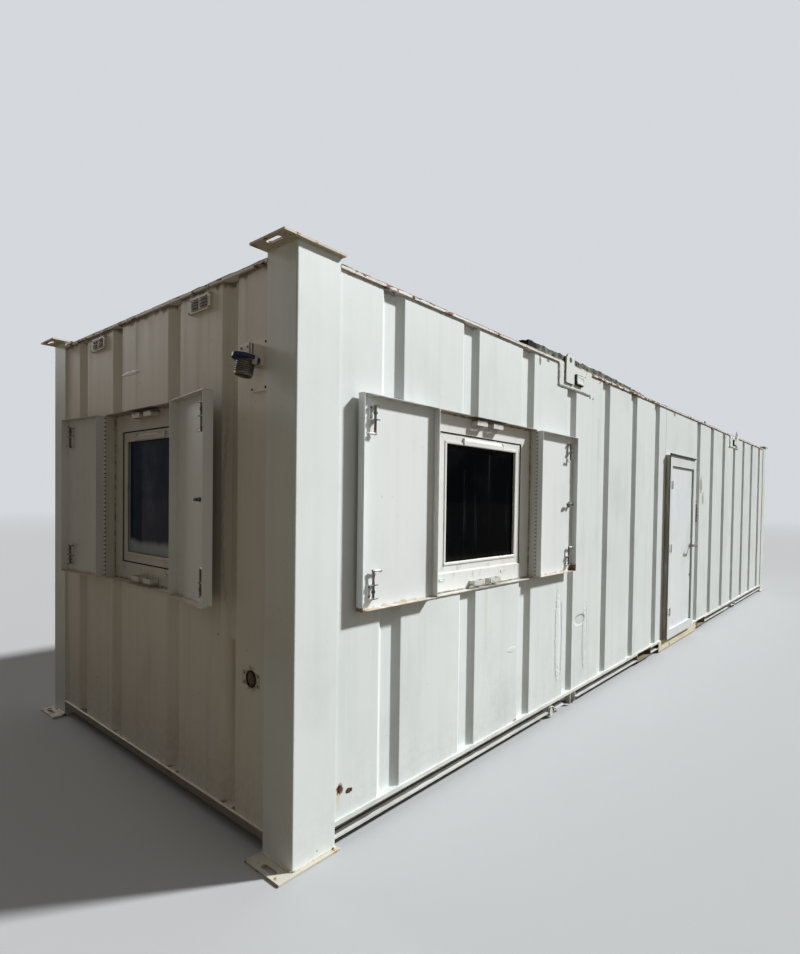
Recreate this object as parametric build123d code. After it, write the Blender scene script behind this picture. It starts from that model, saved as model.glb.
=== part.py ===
"""Portable site cabin: steel frame on foot plates, ribbed wall sheets, shuttered windows.

Millimetres, +Z up. The origin is on the ground under the middle of the cabin. The long
front, with one window and the door, faces -Y. The end with the other window faces -X.
"""
import os

from build123d import *

# Frame
cabin_length = 9754.0
cabin_width = 3048.0
post_top = 2685.0
plate_thickness = 10.0
post_leg_long = 215.0
post_leg_end = 225.0
post_bend_radius = 8.0

# Corner plates
plate_overhang_end = 74.0
plate_overhang_long = 25.0
plate_lap_long = 13.0
plate_lap_end = 15.0
slot_length = 100.0
slot_width = 26.0
slot_inset = 30.0
slot_centre_from_face = 98.0

# Base
rail_bottom = 45.0
rail_height = 80.0
rail_metal = 8.0
rail_web_depth = 48.0
rail_lip = 22.0
end_rail_bottom = 65.0
end_rail_height = 40.0
end_rail_flange = 70.0
joist_width = 45.0
joist_bottom = 52.0
joist_pitch = 1150.0
tie_tube_centre = 2125.0
tie_tube_radius = 35.0
tie_tube_metal = 5.0
tie_tube_height = 49.0
tie_tube_cap_inset = 8.0
tie_plate_places = (2412.0, 2492.0)
tie_plate_metal = 8.0
tie_plate_bottom = 12.0
flange_gap_tube = 40.0
flange_gap_plates = 112.0
fork_pocket_width = 355.0
fork_pocket_height = 84.0
fork_pocket_metal = 6.0
fork_pocket_spacing = 1920.0
floor_thickness = 22.0

# Walls
wall_depth = 92.0
crest_setback = 10.0
rib_depth = 32.0
rib_pitch = 602.0
rib_width = 145.0
rib_slope = 38.0
rib_bend_radius = 8.0
first_rib_edge = 612.0
wall_drop = 45.0
end_rib_edge = 629.0
end_rib_pitch = 584.0

# Roof
top_rail_metal = 12.0
top_rail_lip = 2.0
roof_metal = 4.0
roof_rib_height = 12.0
roof_rib_width = 60.0
roof_rib_pitch = 600.0
roof_joist_width = 45.0
roof_joist_height = 80.0
roof_joist_pitch = 900.0
ceiling_thickness = 12.0

# Windows and shutters
window_width = 1028.0
window_height = 1038.0
window_sill = 1070.0
front_window_centre = 1332.0
end_window_centre = 1493.0
surround_metal = 4.0
keep_width = 100.0
keep_height = 30.0
keep_metal = 4.0
keep_gap = 30.0
keep_front = 6.5
keep_rise = 16.0
keep_inset = 1.0
frame_face_depth = 53.0
outer_frame_width = 108.0
sash_width = 60.0
sash_proud = 8.0
glass_thickness = 6.0
vent_hood_width = 380.0
vent_hood_height = 41.0
vent_hood_depth = 12.0
vent_hood_drop = 19.0
shutter_gap = 5.0
shutter_end_gap = 6.0
shutter_metal = 3.0
shutter_depth = 44.0
hinge_radius = 4.5
hinge_seat = 0.3
bolt_from_edge = 80.0
bolt_bracket_width = 40.0
bolt_bracket_height = 70.0
bolt_bracket_rise = 31.0
bolt_bracket_metal = 4.0
bolt_bracket_from_end = 80.0
bolt_rod_radius = 6.0
bolt_rod_length = 142.0
bolt_rod_end_gap = 44.0
bolt_rod_rise = 20.0
bolt_handle_length = 46.0
lever_from_edge = 60.0
lever_length = 70.0
lever_radius = 6.0
lever_post_radius = 12.0
lever_height = 30.0
end_shutter_lean = 7.5
end_far_shutter_lean = 4.5

# Door
door_frame_width = 880.0
door_off_middle = -4.0
door_frame_bottom = 125.0
door_frame_top = 2140.0
door_frame_proud = 48.0
door_jamb_width = 63.0
door_head_height = 118.0
door_sill_height = 95.0
door_gap = 5.0
door_set_back = 20.0
door_thickness = 45.0
door_hinge_radius = 6.0
door_hinge_length = 80.0
door_hinge_metal = 5.0
door_hinge_from_end = 200.0
handle_height = 1115.0
handle_from_edge = 36.0
handle_rose_radius = 27.0
handle_rose_thickness = 10.0
handle_neck = 85.0
handle_radius = 9.0
handle_length = 115.0
cover_plate_metal = 6.0
cover_plate_bottom = 12.0
cover_gap_left = 210.0
cover_gap_right = 60.0

# Fittings
vent_width = 226.0
vent_height = 80.0
vent_thickness = 12.0
vent_below_wall_top = 65.0
vent_offset = 680.0
vent_slot_width = 80.0
vent_slot_height = 8.0
vent_slot_pitch = 15.0
vent_border = 6.0
inlet_plate_width = 137.0
inlet_plate_height = 230.0
inlet_plate_metal = 5.0
inlet_below_wall_top = 330.0
inlet_box_drop = 30.0
inlet_centre = 297.0
inlet_box_depth = 66.0
inlet_box_height = 90.0
inlet_box_half_width = 37.0
inlet_tilt = 10.0
inlet_collar_radius = 54.0
inlet_collar_length = 20.0
inlet_body_radius = 36.0
inlet_body_length = 70.0
service_hole_radius = 33.0
service_hole_centre = 347.0
service_hole_height = 768.0
lug_offset = 2270.0
lug_width = 118.0
lug_metal = 14.0
lug_tail = 135.0
lug_eye_rise = 38.0
lug_eye_radius = 21.0
lug_head = 52.0
doubler_width = 496.0
doubler_height = 162.0
doubler_margin = 70.0

# Values that follow from the sizes above
half_length = cabin_length / 2
half_width = cabin_width / 2
wall_top = post_top - wall_drop
door_frame_left = half_length + door_off_middle - door_frame_width / 2
rail_top = rail_bottom + rail_height
end_rail_top = end_rail_bottom + end_rail_height
web_front = rail_web_depth
crest = crest_setback
groove = crest_setback + rib_depth
hinge_standoff = hinge_radius + hinge_seat
door_hinge_standoff = door_hinge_radius + hinge_seat
eps_cut = 5.0


def side(name):
    """Location of a side's own frame: x runs right along the face, y inward, z up."""
    return {
        "front": Pos(-half_length, -half_width, 0),
        "near_end": Pos(-half_length, half_width, 0) * Rot(0, 0, -90),
        "back": Pos(half_length, half_width, 0) * Rot(0, 0, 180),
        "far_end": Pos(half_length, -half_width, 0) * Rot(0, 0, 90),
    }[name]


def block(x0, x1, y0, y1, z0, z1):
    """Box between two corners."""
    return Pos((x0 + x1) / 2, (y0 + y1) / 2, (z0 + z1) / 2) * Box(x1 - x0, y1 - y0, z1 - z0)


def prism(points, z0, z1):
    """Closed outline in plan raised from z0 to z1."""
    face = make_face(Polyline(*points, close=True))
    return Pos(0, 0, z0) * extrude(face, amount=z1 - z0, dir=(0, 0, 1))


def profile_along_x(points, x0, x1):
    """Closed outline of (y, z) points drawn out from x0 to x1."""
    face = make_face(Polyline(*[(x0, y, z) for y, z in points], close=True))
    return extrude(face, amount=x1 - x0, dir=(1, 0, 0))


def cylinder_y(x, z, radius, y0, y1):
    """Round bar along y."""
    return Pos(x, (y0 + y1) / 2, z) * Rot(90, 0, 0) * Cylinder(radius, y1 - y0)


def cylinder_z(x, y, radius, z0, z1):
    """Round bar along z."""
    return Pos(x, y, (z0 + z1) / 2) * Cylinder(radius, z1 - z0)


def slot_hole(x, y, length, width, z0, z1):
    """Round-ended slot along y."""
    body = block(x - width / 2, x + width / 2, y - (length - width) / 2, y + (length - width) / 2, z0, z1)
    for end in (-1, 1):
        body += cylinder_z(x, y + end * (length - width) / 2, width / 2, z0, z1)
    return body


def four_corners(shape):
    """The shape at the front left corner and its mirror images at the other three."""
    right = mirror(shape, about=Plane.YZ)
    return [shape, right, mirror(shape, about=Plane.XZ), mirror(right, about=Plane.XZ)]


def grooves_long(length):
    """Right edges of the grooves on a long side, in two runs from its ends."""
    count = int((length / 2 - first_rib_edge) // rib_pitch)
    left = [first_rib_edge + rib_pitch * k for k in range(count)]
    right = [length - edge + rib_width for edge in left]
    return sorted(left + right)


def grooves_end(length):
    """Right edges of the four grooves on an end."""
    left = [end_rib_edge, end_rib_edge + end_rib_pitch]
    return sorted(left + [length - edge + rib_width for edge in left])


def ribbed_wall(x0, x1, z0, z1, edges):
    """Wall panel cut from a pressed sheet: grooves outside, flat lining inside."""
    crossing = [edge for edge in edges if edge > x0 and edge - rib_width < x1]
    left, right = x0 - rib_width, x1 + rib_width
    outline = [(left, crest)]
    for edge in crossing:
        foot = edge - rib_width
        outline += [
            (foot, crest),
            (foot + rib_slope, groove),
            (edge - rib_slope, groove),
            (edge, crest),
        ]
    outline += [(right, crest), (right, wall_depth), (left, wall_depth)]
    face = make_face(Polyline(*outline, close=True))
    bends = [v for v in face.vertices() if left < v.X < right]
    if bends:
        face = fillet(bends, rib_bend_radius)
    sheet = extrude(face, amount=z1 - z0, dir=(0, 0, 1))
    return Pos(0, 0, z0) * sheet & block(x0, x1, crest, wall_depth, z0, z1)


def make_corner_posts():
    """Folded posts, wide on both faces, that close the corner between two walls."""
    outline = [
        (0, 0),
        (post_leg_long, 0),
        (post_leg_long, wall_depth),
        (wall_depth, wall_depth),
        (wall_depth, post_leg_end),
        (0, post_leg_end),
    ]
    post = prism(outline, plate_thickness, post_top)
    edge = post.edges().filter_by(Axis.Z).sort_by(lambda e: e.center().X + e.center().Y)[0]
    post = fillet(edge, post_bend_radius)
    return four_corners(side("front") * post)


def make_corner_plates(z0):
    """Plates above or below the posts, with a lifting slot in the part past the end face."""
    plate = block(
        -plate_overhang_end,
        post_leg_long + plate_lap_long,
        -plate_overhang_long,
        post_leg_end + plate_lap_end,
        z0,
        z0 + plate_thickness,
    )
    plate -= slot_hole(
        slot_inset - plate_overhang_end,
        slot_centre_from_face,
        slot_length,
        slot_width,
        z0 - eps_cut,
        z0 + plate_thickness + eps_cut,
    )
    return four_corners(side("front") * plate)


def pocket_spans():
    """Left and right edge of each fork pocket along a long side."""
    middle = cabin_length / 2
    return [
        (middle + sign * fork_pocket_spacing / 2 - fork_pocket_width / 2,
         middle + sign * fork_pocket_spacing / 2 + fork_pocket_width / 2)
        for sign in (-1, 1)
    ]


def flange_gaps():
    """Cuts in the rail's lower flange for the tie-down gear."""
    reach = tie_tube_radius + flange_gap_tube / 2
    low, high = min(tie_plate_places), max(tie_plate_places)
    spans = [
        (tie_tube_centre - reach, tie_tube_centre + reach),
        (low - flange_gap_plates, high + tie_plate_metal / 2),
    ]
    return block(*spans[0], -eps_cut, web_front, 0, rail_bottom + rail_metal), block(
        *spans[1], -eps_cut, web_front, 0, rail_bottom + rail_metal
    )


def make_tie_down():
    """Capped tube and two upright plates in the rail's mouth, welded to its web."""
    tube = cylinder_y(tie_tube_centre, tie_tube_height, tie_tube_radius, 0, web_front)
    tube -= cylinder_y(
        tie_tube_centre,
        tie_tube_height,
        tie_tube_radius - tie_tube_metal,
        -eps_cut,
        tie_tube_cap_inset,
    )
    gear = tube
    for x in tie_plate_places:
        gear += block(
            x - tie_plate_metal / 2,
            x + tie_plate_metal / 2,
            crest_setback,
            web_front,
            tie_plate_bottom,
            rail_top - rail_metal,
        )
    return gear


def make_long_rail(name):
    """Base rail: channel open outward under a deep lip, with a seat for the wall on top."""
    y1 = web_front + rail_metal
    outline = [
        (0, rail_top),
        (wall_depth, rail_top),
        (wall_depth, rail_top - rail_metal),
        (y1, rail_top - rail_metal),
        (y1, rail_bottom),
        (0, rail_bottom),
        (0, rail_bottom + rail_metal),
        (web_front, rail_bottom + rail_metal),
        (web_front, rail_top - rail_metal),
        (rail_metal, rail_top - rail_metal),
        (rail_metal, rail_top - rail_lip),
        (0, rail_top - rail_lip),
    ]
    rail = profile_along_x(outline, post_leg_long, cabin_length - post_leg_long)
    for x0, x1 in pocket_spans():
        rail -= block(x0, x1, -eps_cut, wall_depth + eps_cut, 0, rail_top - rail_metal)
    tie_down = make_tie_down()
    for gap in flange_gaps():
        rail -= gap + mirror(gap, about=Plane.YZ.offset(half_length))
    rail += tie_down + mirror(tie_down, about=Plane.YZ.offset(half_length))
    return side(name) * rail


def make_end_rails():
    """Base rails of the ends: channels with a flush web, open inward."""
    outline = [
        (0, end_rail_top),
        (end_rail_flange, end_rail_top),
        (end_rail_flange, end_rail_top - rail_metal),
        (rail_metal, end_rail_top - rail_metal),
        (rail_metal, end_rail_bottom + rail_metal),
        (end_rail_flange, end_rail_bottom + rail_metal),
        (end_rail_flange, end_rail_bottom),
        (0, end_rail_bottom),
    ]
    rail = profile_along_x(outline, post_leg_end, cabin_width - post_leg_end)
    return [side("near_end") * rail, side("far_end") * rail]


def make_fork_pockets():
    """Rectangular tubes right across under the floor, for the forks of a truck."""
    top = rail_top - rail_metal
    tubes = []
    for x0, x1 in pocket_spans():
        tube = block(x0, x1, 0, cabin_width, top - fork_pocket_height, top)
        tube -= block(
            x0 + fork_pocket_metal,
            x1 - fork_pocket_metal,
            -eps_cut,
            cabin_width + eps_cut,
            top - fork_pocket_height + fork_pocket_metal,
            top - fork_pocket_metal,
        )
        tubes.append(side("front") * tube)
    return tubes


def even_places(x0, x1, pitch):
    """Places that split a span into equal bays of about one pitch."""
    bays = max(2, round((x1 - x0) / pitch))
    return [x0 + (x1 - x0) * k / bays for k in range(1, bays)]


def make_floor_joists():
    """Cross members between the webs of the long rails, clear of the fork pockets."""
    inner = web_front + rail_metal
    left, right = pocket_spans()
    bays = [
        (post_leg_long, left[0]),
        (left[1], right[0]),
        (right[1], cabin_length - post_leg_long),
    ]
    joists = []
    for x in [place for bay in bays for place in even_places(*bay, joist_pitch)]:
        low = block(
            x - joist_width / 2,
            x + joist_width / 2,
            inner,
            cabin_width - inner,
            joist_bottom,
            rail_top - rail_metal,
        )
        low += block(
            x - joist_width / 2,
            x + joist_width / 2,
            wall_depth,
            cabin_width - wall_depth,
            rail_top - rail_metal,
            rail_top,
        )
        joists.append(side("front") * low)
    return joists


def make_floor():
    """Boarded floor between the wall linings."""
    deck = block(
        wall_depth,
        cabin_length - wall_depth,
        wall_depth,
        cabin_width - wall_depth,
        rail_top,
        rail_top + floor_thickness,
    )
    return side("front") * deck


def make_top_rails():
    """Edge rails on the walls, with a thin lip just past the post faces."""
    rails = []
    for name, leg, length in (
        ("front", post_leg_long, cabin_length),
        ("back", post_leg_long, cabin_length),
        ("near_end", post_leg_end, cabin_width),
        ("far_end", post_leg_end, cabin_width),
    ):
        rail = block(
            leg,
            length - leg,
            -top_rail_lip,
            wall_depth,
            wall_top,
            wall_top + top_rail_metal,
        )
        rails.append(side(name) * rail)
    return rails


def make_roof_sheet():
    """Roof sheet with low pressed ribs across it, between the corner posts."""
    z0 = wall_top + top_rail_metal
    z1 = z0 + roof_metal
    inset = wall_depth
    sheet = block(post_leg_long, cabin_length - post_leg_long, 0, cabin_width, z0, z1)
    sheet += block(0, cabin_length, post_leg_end, cabin_width - post_leg_end, z0, z1)
    count = int((cabin_length - 2 * post_leg_long - roof_rib_width) // roof_rib_pitch)
    for k in range(count + 1):
        x = half_length + (k - count / 2) * roof_rib_pitch
        top = z0 + roof_metal + roof_rib_height
        half = roof_rib_width / 2
        outline = [
            (x - half, z0 + roof_metal),
            (x - half / 2, top),
            (x + half / 2, top),
            (x + half, z0 + roof_metal),
        ]
        rib = make_face(Polyline(*[(px, inset, pz) for px, pz in outline], close=True))
        sheet += extrude(rib, amount=cabin_width - 2 * inset, dir=(0, 1, 0))
    return side("front") * sheet


def make_roof_joists():
    """Roof joists across the cabin, between the wall linings and under the sheet."""
    top = wall_top + top_rail_metal
    joists = []
    for x in even_places(wall_depth, cabin_length - wall_depth, roof_joist_pitch):
        joists.append(side("front") * block(
            x - roof_joist_width / 2,
            x + roof_joist_width / 2,
            wall_depth,
            cabin_width - wall_depth,
            top - roof_joist_height,
            top,
        ))
    return joists


def make_ceiling():
    """Flat ceiling lining under the roof joists."""
    top = wall_top + top_rail_metal - roof_joist_height
    return side("front") * block(
        wall_depth,
        cabin_length - wall_depth,
        wall_depth,
        cabin_width - wall_depth,
        top - ceiling_thickness,
        top,
    )


def window_edges(centre):
    """Left and right edge of a window opening."""
    return centre - window_width / 2, centre + window_width / 2


def wall_panels():
    """All the wall panels by name, split at the windows and the door."""
    long_ribs = grooves_long(cabin_length)
    end_ribs = grooves_end(cabin_width)
    x0, x1 = window_edges(front_window_centre)
    e0, e1 = window_edges(end_window_centre)
    z0, z1 = window_sill, window_sill + window_height
    left, right = post_leg_long, cabin_length - post_leg_long
    end_left, end_right = post_leg_end, cabin_width - post_leg_end
    d0, d1 = door_frame_left, door_frame_left + door_frame_width
    middle_rib = [half_length + rib_width / 2]
    hole = cylinder_y(
        cabin_width - service_hole_centre,
        service_hole_height,
        service_hole_radius,
        crest - eps_cut,
        wall_depth + eps_cut,
    )
    front, near, far, back = (side(name) for name in ("front", "near_end", "far_end", "back"))
    return {
        "front_wall_left": front * ribbed_wall(left, x0, rail_top, wall_top, long_ribs),
        "front_wall_window_bay": [
            front * ribbed_wall(x0, x1, rail_top, z0, long_ribs),
            front * ribbed_wall(x0, x1, z1, wall_top, long_ribs),
        ],
        "front_wall_middle": front * ribbed_wall(x1, d0, rail_top, wall_top, long_ribs),
        "front_wall_over_door": front * ribbed_wall(d0, d1, door_frame_top, wall_top, long_ribs),
        "front_wall_right": front * ribbed_wall(d1, right, rail_top, wall_top, long_ribs),
        "back_wall": back * ribbed_wall(
            left, right, rail_top, wall_top, sorted(long_ribs + middle_rib)
        ),
        "far_end_wall": far * ribbed_wall(end_left, end_right, end_rail_top, wall_top, end_ribs),
        "near_end_wall_back": near * ribbed_wall(end_left, e0, end_rail_top, wall_top, end_ribs),
        "near_end_wall_window_bay": [
            near * ribbed_wall(e0, e1, end_rail_top, z0, end_ribs),
            near * ribbed_wall(e0, e1, z1, wall_top, end_ribs),
        ],
        "near_end_wall_front": near * (
            ribbed_wall(e1, end_right, end_rail_top, wall_top, end_ribs) - hole
        ),
    }


def make_surround(name, centre):
    """Steel reveal of a window with two boxed keeps for the shutter bolts above and below."""
    x0, x1 = window_edges(centre)
    z0, z1 = window_sill, window_sill + window_height
    metal = surround_metal
    ring = block(x0, x1, 0, wall_depth, z0, z1)
    ring -= block(x0 + metal, x1 - metal, -eps_cut, wall_depth + eps_cut, z0 + metal, z1 - metal)
    back = frame_face_depth - keep_inset
    for sign in (-1, 1):
        middle = centre + sign * (keep_gap + keep_width / 2)
        xa, xb = middle - keep_width / 2, middle + keep_width / 2
        for low, seat in ((z0 + metal + keep_rise, z0), (z1 - metal - keep_rise - keep_height, z1)):
            high = low + keep_height
            keep = block(xa, xb, keep_front, back, low, high)
            keep -= block(xa + keep_metal, xb - keep_metal, keep_front + keep_metal, back - keep_metal,
                          low - eps_cut, high + eps_cut)
            keep += block(xa, xb, back - keep_metal, back, min(low, seat), max(high, seat))
            ring += keep
    return side(name) * ring


def make_window_frame(name, centre):
    """Moulded window: outer frame, sash and a hooded vent along the head."""
    x0, x1 = window_edges(centre)
    z0, z1 = window_sill, window_sill + window_height
    x0, x1 = x0 + surround_metal, x1 - surround_metal
    z0, z1 = z0 + surround_metal, z1 - surround_metal
    outer = outer_frame_width
    inner = outer + sash_width
    face = frame_face_depth
    frame = block(x0, x1, face, wall_depth, z0, z1)
    frame -= block(x0 + outer, x1 - outer, face - eps_cut, face + sash_proud, z0 + outer, z1 - outer)
    frame -= block(x0 + inner, x1 - inner, face - eps_cut, wall_depth + eps_cut, z0 + inner, z1 - inner)
    hood_top = z1 - outer - vent_hood_drop
    hood = profile_along_x(
        [
            (face + sash_proud, hood_top),
            (face + sash_proud - vent_hood_depth, hood_top - vent_hood_height * 0.4),
            (face + sash_proud - vent_hood_depth, hood_top - vent_hood_height),
            (face + sash_proud, hood_top - vent_hood_height),
        ],
        centre - vent_hood_width / 2,
        centre + vent_hood_width / 2,
    )
    return side(name) * (frame + hood)


def make_glass(name, centre):
    """Sealed pane held inside the sash."""
    x0, x1 = window_edges(centre)
    inset = surround_metal + outer_frame_width + sash_width
    y0 = wall_depth - glass_thickness - 10
    return side(name) * block(
        x0 + inset,
        x1 - inset,
        y0,
        y0 + glass_thickness,
        window_sill + inset,
        window_sill + window_height - inset,
    )


def shutter_axis(centre, hand):
    """Hinge axis of a shutter in its side's frame: hand -1 is the left leaf."""
    return centre + hand * (window_width / 2 - surround_metal), -hinge_standoff


def make_slide_bolt(x, floor, z_rim, end, turn):
    """Slide bolt, drawn back: a rod through the ears of a bracket, its handle bent aside."""
    half = bolt_bracket_width / 2
    z_mid = z_rim - end * bolt_bracket_from_end
    low, high = z_mid - bolt_bracket_height / 2, z_mid + bolt_bracket_height / 2
    bolt = block(x - half, x + half, floor - bolt_bracket_metal, floor, low, high)
    for foot in (low, high - bolt_bracket_metal):
        bolt += block(x - half, x + half, floor - bolt_bracket_rise, floor, foot, foot + bolt_bracket_metal)
    rod_y = floor - bolt_rod_rise
    tip = z_rim - end * bolt_rod_end_gap
    tail = tip - end * bolt_rod_length
    bolt += cylinder_z(x, rod_y, bolt_rod_radius, min(tip, tail), max(tip, tail))
    handle = Pos(x + turn * bolt_handle_length / 2, rod_y, tail + end * bolt_rod_radius)
    return bolt + handle * Rot(0, 90, 0) * Cylinder(bolt_rod_radius, bolt_handle_length)


def make_shutter(name, centre, hand, lean, with_lever):
    """One steel shutter leaf, folded back: a pressed tray with its rims outward.

    It is drawn about its hinge axis with the leaf along +x, then turned into place.
    """
    leaf_width = window_width / 2 - surround_metal - shutter_gap - shutter_gap / 2
    z0 = window_sill + surround_metal + shutter_end_gap
    z1 = window_sill + window_height - surround_metal - shutter_end_gap
    x0, x1 = shutter_gap, shutter_gap + leaf_width
    t = shutter_metal
    rim = -shutter_depth - t
    tray = block(x0, x1, rim, -t, z0, z1)
    tray -= block(x0 + t, x1 - t, rim - eps_cut, -2 * t, z0 + t, z1 - t)
    leaf = block(hinge_radius * 0.4, x0 + t, -2 * t, -t, z0, z1)
    barrel = cylinder_z(0, 0, hinge_radius, z0, z1)
    body = tray + leaf + barrel
    bolt_x = x1 - bolt_from_edge
    floor = -2 * t
    body += make_slide_bolt(bolt_x, floor, z1 - t, 1, -hand)
    body += make_slide_bolt(bolt_x, floor, z0 + t, -1, hand)
    if with_lever:
        z_lever = (z0 + z1) / 2
        lever_x = x1 - lever_from_edge
        body += cylinder_y(lever_x, z_lever, lever_post_radius, floor - lever_height, floor)
        body += block(
            lever_x - lever_length,
            lever_x,
            floor - lever_height,
            floor - lever_height + lever_radius,
            z_lever - lever_radius,
            z_lever + lever_radius,
        )
    x_axis, y_axis = shutter_axis(centre, hand)
    if hand < 0:
        body = mirror(body, about=Plane.YZ)
    turned = Rot(0, 0, -hand * lean) * body
    return side(name) * Pos(x_axis, y_axis, 0) * turned


def make_door_frame():
    """Boxed steel door frame that stands proud of the wall."""
    x0, x1 = door_frame_left, door_frame_left + door_frame_width
    frame = block(x0, x1, -door_frame_proud, wall_depth, door_frame_bottom, door_frame_top)
    frame -= block(
        x0 + door_jamb_width,
        x1 - door_jamb_width,
        -door_frame_proud - eps_cut,
        wall_depth + eps_cut,
        door_frame_bottom + door_sill_height,
        door_frame_top - door_head_height,
    )
    return side("front") * frame


def door_box():
    """Edges of the door leaf: left, right, outer face, inner face, bottom, top."""
    x0 = door_frame_left + door_jamb_width + door_gap
    x1 = door_frame_left + door_frame_width - door_jamb_width - door_gap
    y0 = door_set_back - door_frame_proud
    z0 = door_frame_bottom + door_sill_height + door_gap
    z1 = door_frame_top - door_head_height - door_gap
    return x0, x1, y0, y0 + door_thickness, z0, z1


def door_axis():
    """Hinge axis of the door in the front frame."""
    return door_frame_left + door_jamb_width, -door_frame_proud - door_hinge_standoff


def make_door_leaf():
    """Flush steel leaf with the handle's rose and three straps out to the hinge pins."""
    x0, x1, y0, y1, z0, z1 = door_box()
    xa, ya = door_axis()
    leaf = block(x0, x1, y0, y1, z0, z1)
    x_rose, y_rose = handle_place()
    leaf += cylinder_y(x_rose, handle_height, handle_rose_radius, y_rose - handle_rose_thickness, y_rose)
    for z in door_hinge_heights():
        half = door_hinge_length / 2
        leaf += block(x0, x0 + door_hinge_metal, ya, y0 + door_hinge_metal, z - half, z + half)
        leaf += block(xa, x0 + door_hinge_metal, ya - door_hinge_metal / 2, ya + door_hinge_metal / 2,
                      z - half, z + half)
        leaf += cylinder_z(xa, ya, door_hinge_radius, z - half, z + half)
    return side("front") * leaf


def door_hinge_heights():
    """Heights of the three hinges."""
    x0, x1, y0, y1, z0, z1 = door_box()
    return [z0 + door_hinge_from_end, (z0 + z1) / 2, z1 - door_hinge_from_end]


def handle_place():
    """Middle of the handle's rose on the outer face of the leaf."""
    x0, x1, y0, y1, z0, z1 = door_box()
    return x1 - handle_from_edge, y0


def make_door_handle():
    """Lever handle that turns in the rose."""
    x, y0 = handle_place()
    handle = cylinder_y(x, handle_height, handle_radius, y0 - handle_neck - handle_radius,
                        y0 - handle_rose_thickness - hinge_seat)
    arm = Pos(x - handle_length / 2, y0 - handle_neck, handle_height)
    handle += arm * Rot(0, 90, 0) * Cylinder(handle_radius, handle_length)
    return side("front") * handle


def make_cover_plate():
    """Plate over the mouth of the base rail, between the fork pockets and under the door."""
    left, right = pocket_spans()
    return side("front") * block(
        left[1] + cover_gap_left,
        right[0] - cover_gap_right,
        -cover_plate_metal,
        0,
        cover_plate_bottom,
        rail_top - rail_metal,
    )


def make_vents():
    """Two louvred vents high on the end wall."""
    vents = []
    vent_centre_height = wall_top - vent_below_wall_top
    for sign in (-1, 1):
        x = half_width + sign * vent_offset
        vent = block(
            x - vent_width / 2,
            x + vent_width / 2,
            crest - vent_thickness,
            crest,
            vent_centre_height - vent_height / 2,
            vent_centre_height + vent_height / 2,
        )
        for column in (-1, 1):
            for row in range(4):
                z = vent_centre_height + (row - 1.5) * vent_slot_pitch
                xc = x + column * (vent_slot_width / 2 + vent_border)
                vent -= block(
                    xc - vent_slot_width / 2,
                    xc + vent_slot_width / 2,
                    crest - vent_thickness - eps_cut,
                    crest - vent_thickness / 3,
                    z - vent_slot_height / 2,
                    z + vent_slot_height / 2,
                )
        vents.append(side("near_end") * vent)
    return vents


def make_inlet():
    """Angled power inlet on a backing plate beside the corner post."""
    x = cabin_width - inlet_centre
    z1 = wall_top - inlet_below_wall_top
    plate = block(
        x - inlet_plate_width / 2,
        x + inlet_plate_width / 2,
        crest - inlet_plate_metal,
        crest,
        z1 - inlet_plate_height,
        z1,
    )
    top = z1 - inlet_box_drop
    y0 = crest - inlet_plate_metal
    box = profile_along_x(
        [
            (y0, top),
            (y0 - inlet_box_depth, top),
            (y0 - inlet_box_depth, top - inlet_box_height * 0.6),
            (y0, top - inlet_box_height),
        ],
        x - inlet_box_half_width,
        x + inlet_box_half_width,
    )
    seat = Pos(x, y0 - inlet_box_depth * 0.85, top - inlet_box_height * 0.62) * Rot(-inlet_tilt, 0, 0)
    collar = seat * Pos(0, 0, -inlet_collar_length / 2) * Cylinder(inlet_collar_radius, inlet_collar_length)
    body = seat * Pos(0, 0, -inlet_collar_length - inlet_body_length / 2 + 1) * Cylinder(
        inlet_body_radius, inlet_body_length
    )
    body -= seat * Pos(0, 0, -inlet_collar_length - inlet_body_length / 2) * Cylinder(
        inlet_body_radius - 5, inlet_body_length + 2
    )
    near = side("near_end")
    housing = plate + box
    return near * housing, near * (collar + body - housing)


def make_lugs(name):
    """Lifting lugs: upright plates with an eye, each welded to a long doubler on the wall."""
    eye_height = wall_top + lug_eye_rise
    lug_top = eye_height + lug_head
    radius = lug_width / 2
    x, y1 = lug_offset, -top_rail_lip
    lug = block(
        x - radius - doubler_margin,
        x - radius - doubler_margin + doubler_width,
        y1,
        crest,
        wall_top - doubler_height,
        wall_top,
    )
    lug += block(x - radius, x + radius, y1 - lug_metal, y1, wall_top - lug_tail, lug_top - radius)
    lug += cylinder_y(x, lug_top - radius, radius, y1 - lug_metal, y1)
    lug -= cylinder_y(x, eye_height, lug_eye_radius, y1 - lug_metal - eps_cut, y1 + eps_cut)
    far = mirror(lug, about=Plane.YZ.offset(half_length))
    return [side(name) * lug, side(name) * far]


def write(name, shapes):
    """Write one node as a STEP file."""
    if isinstance(shapes, (list, tuple)):
        shapes = Compound(children=list(shapes))
    shapes.label = name
    export_step(shapes, f"parts/{name}.step")


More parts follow.
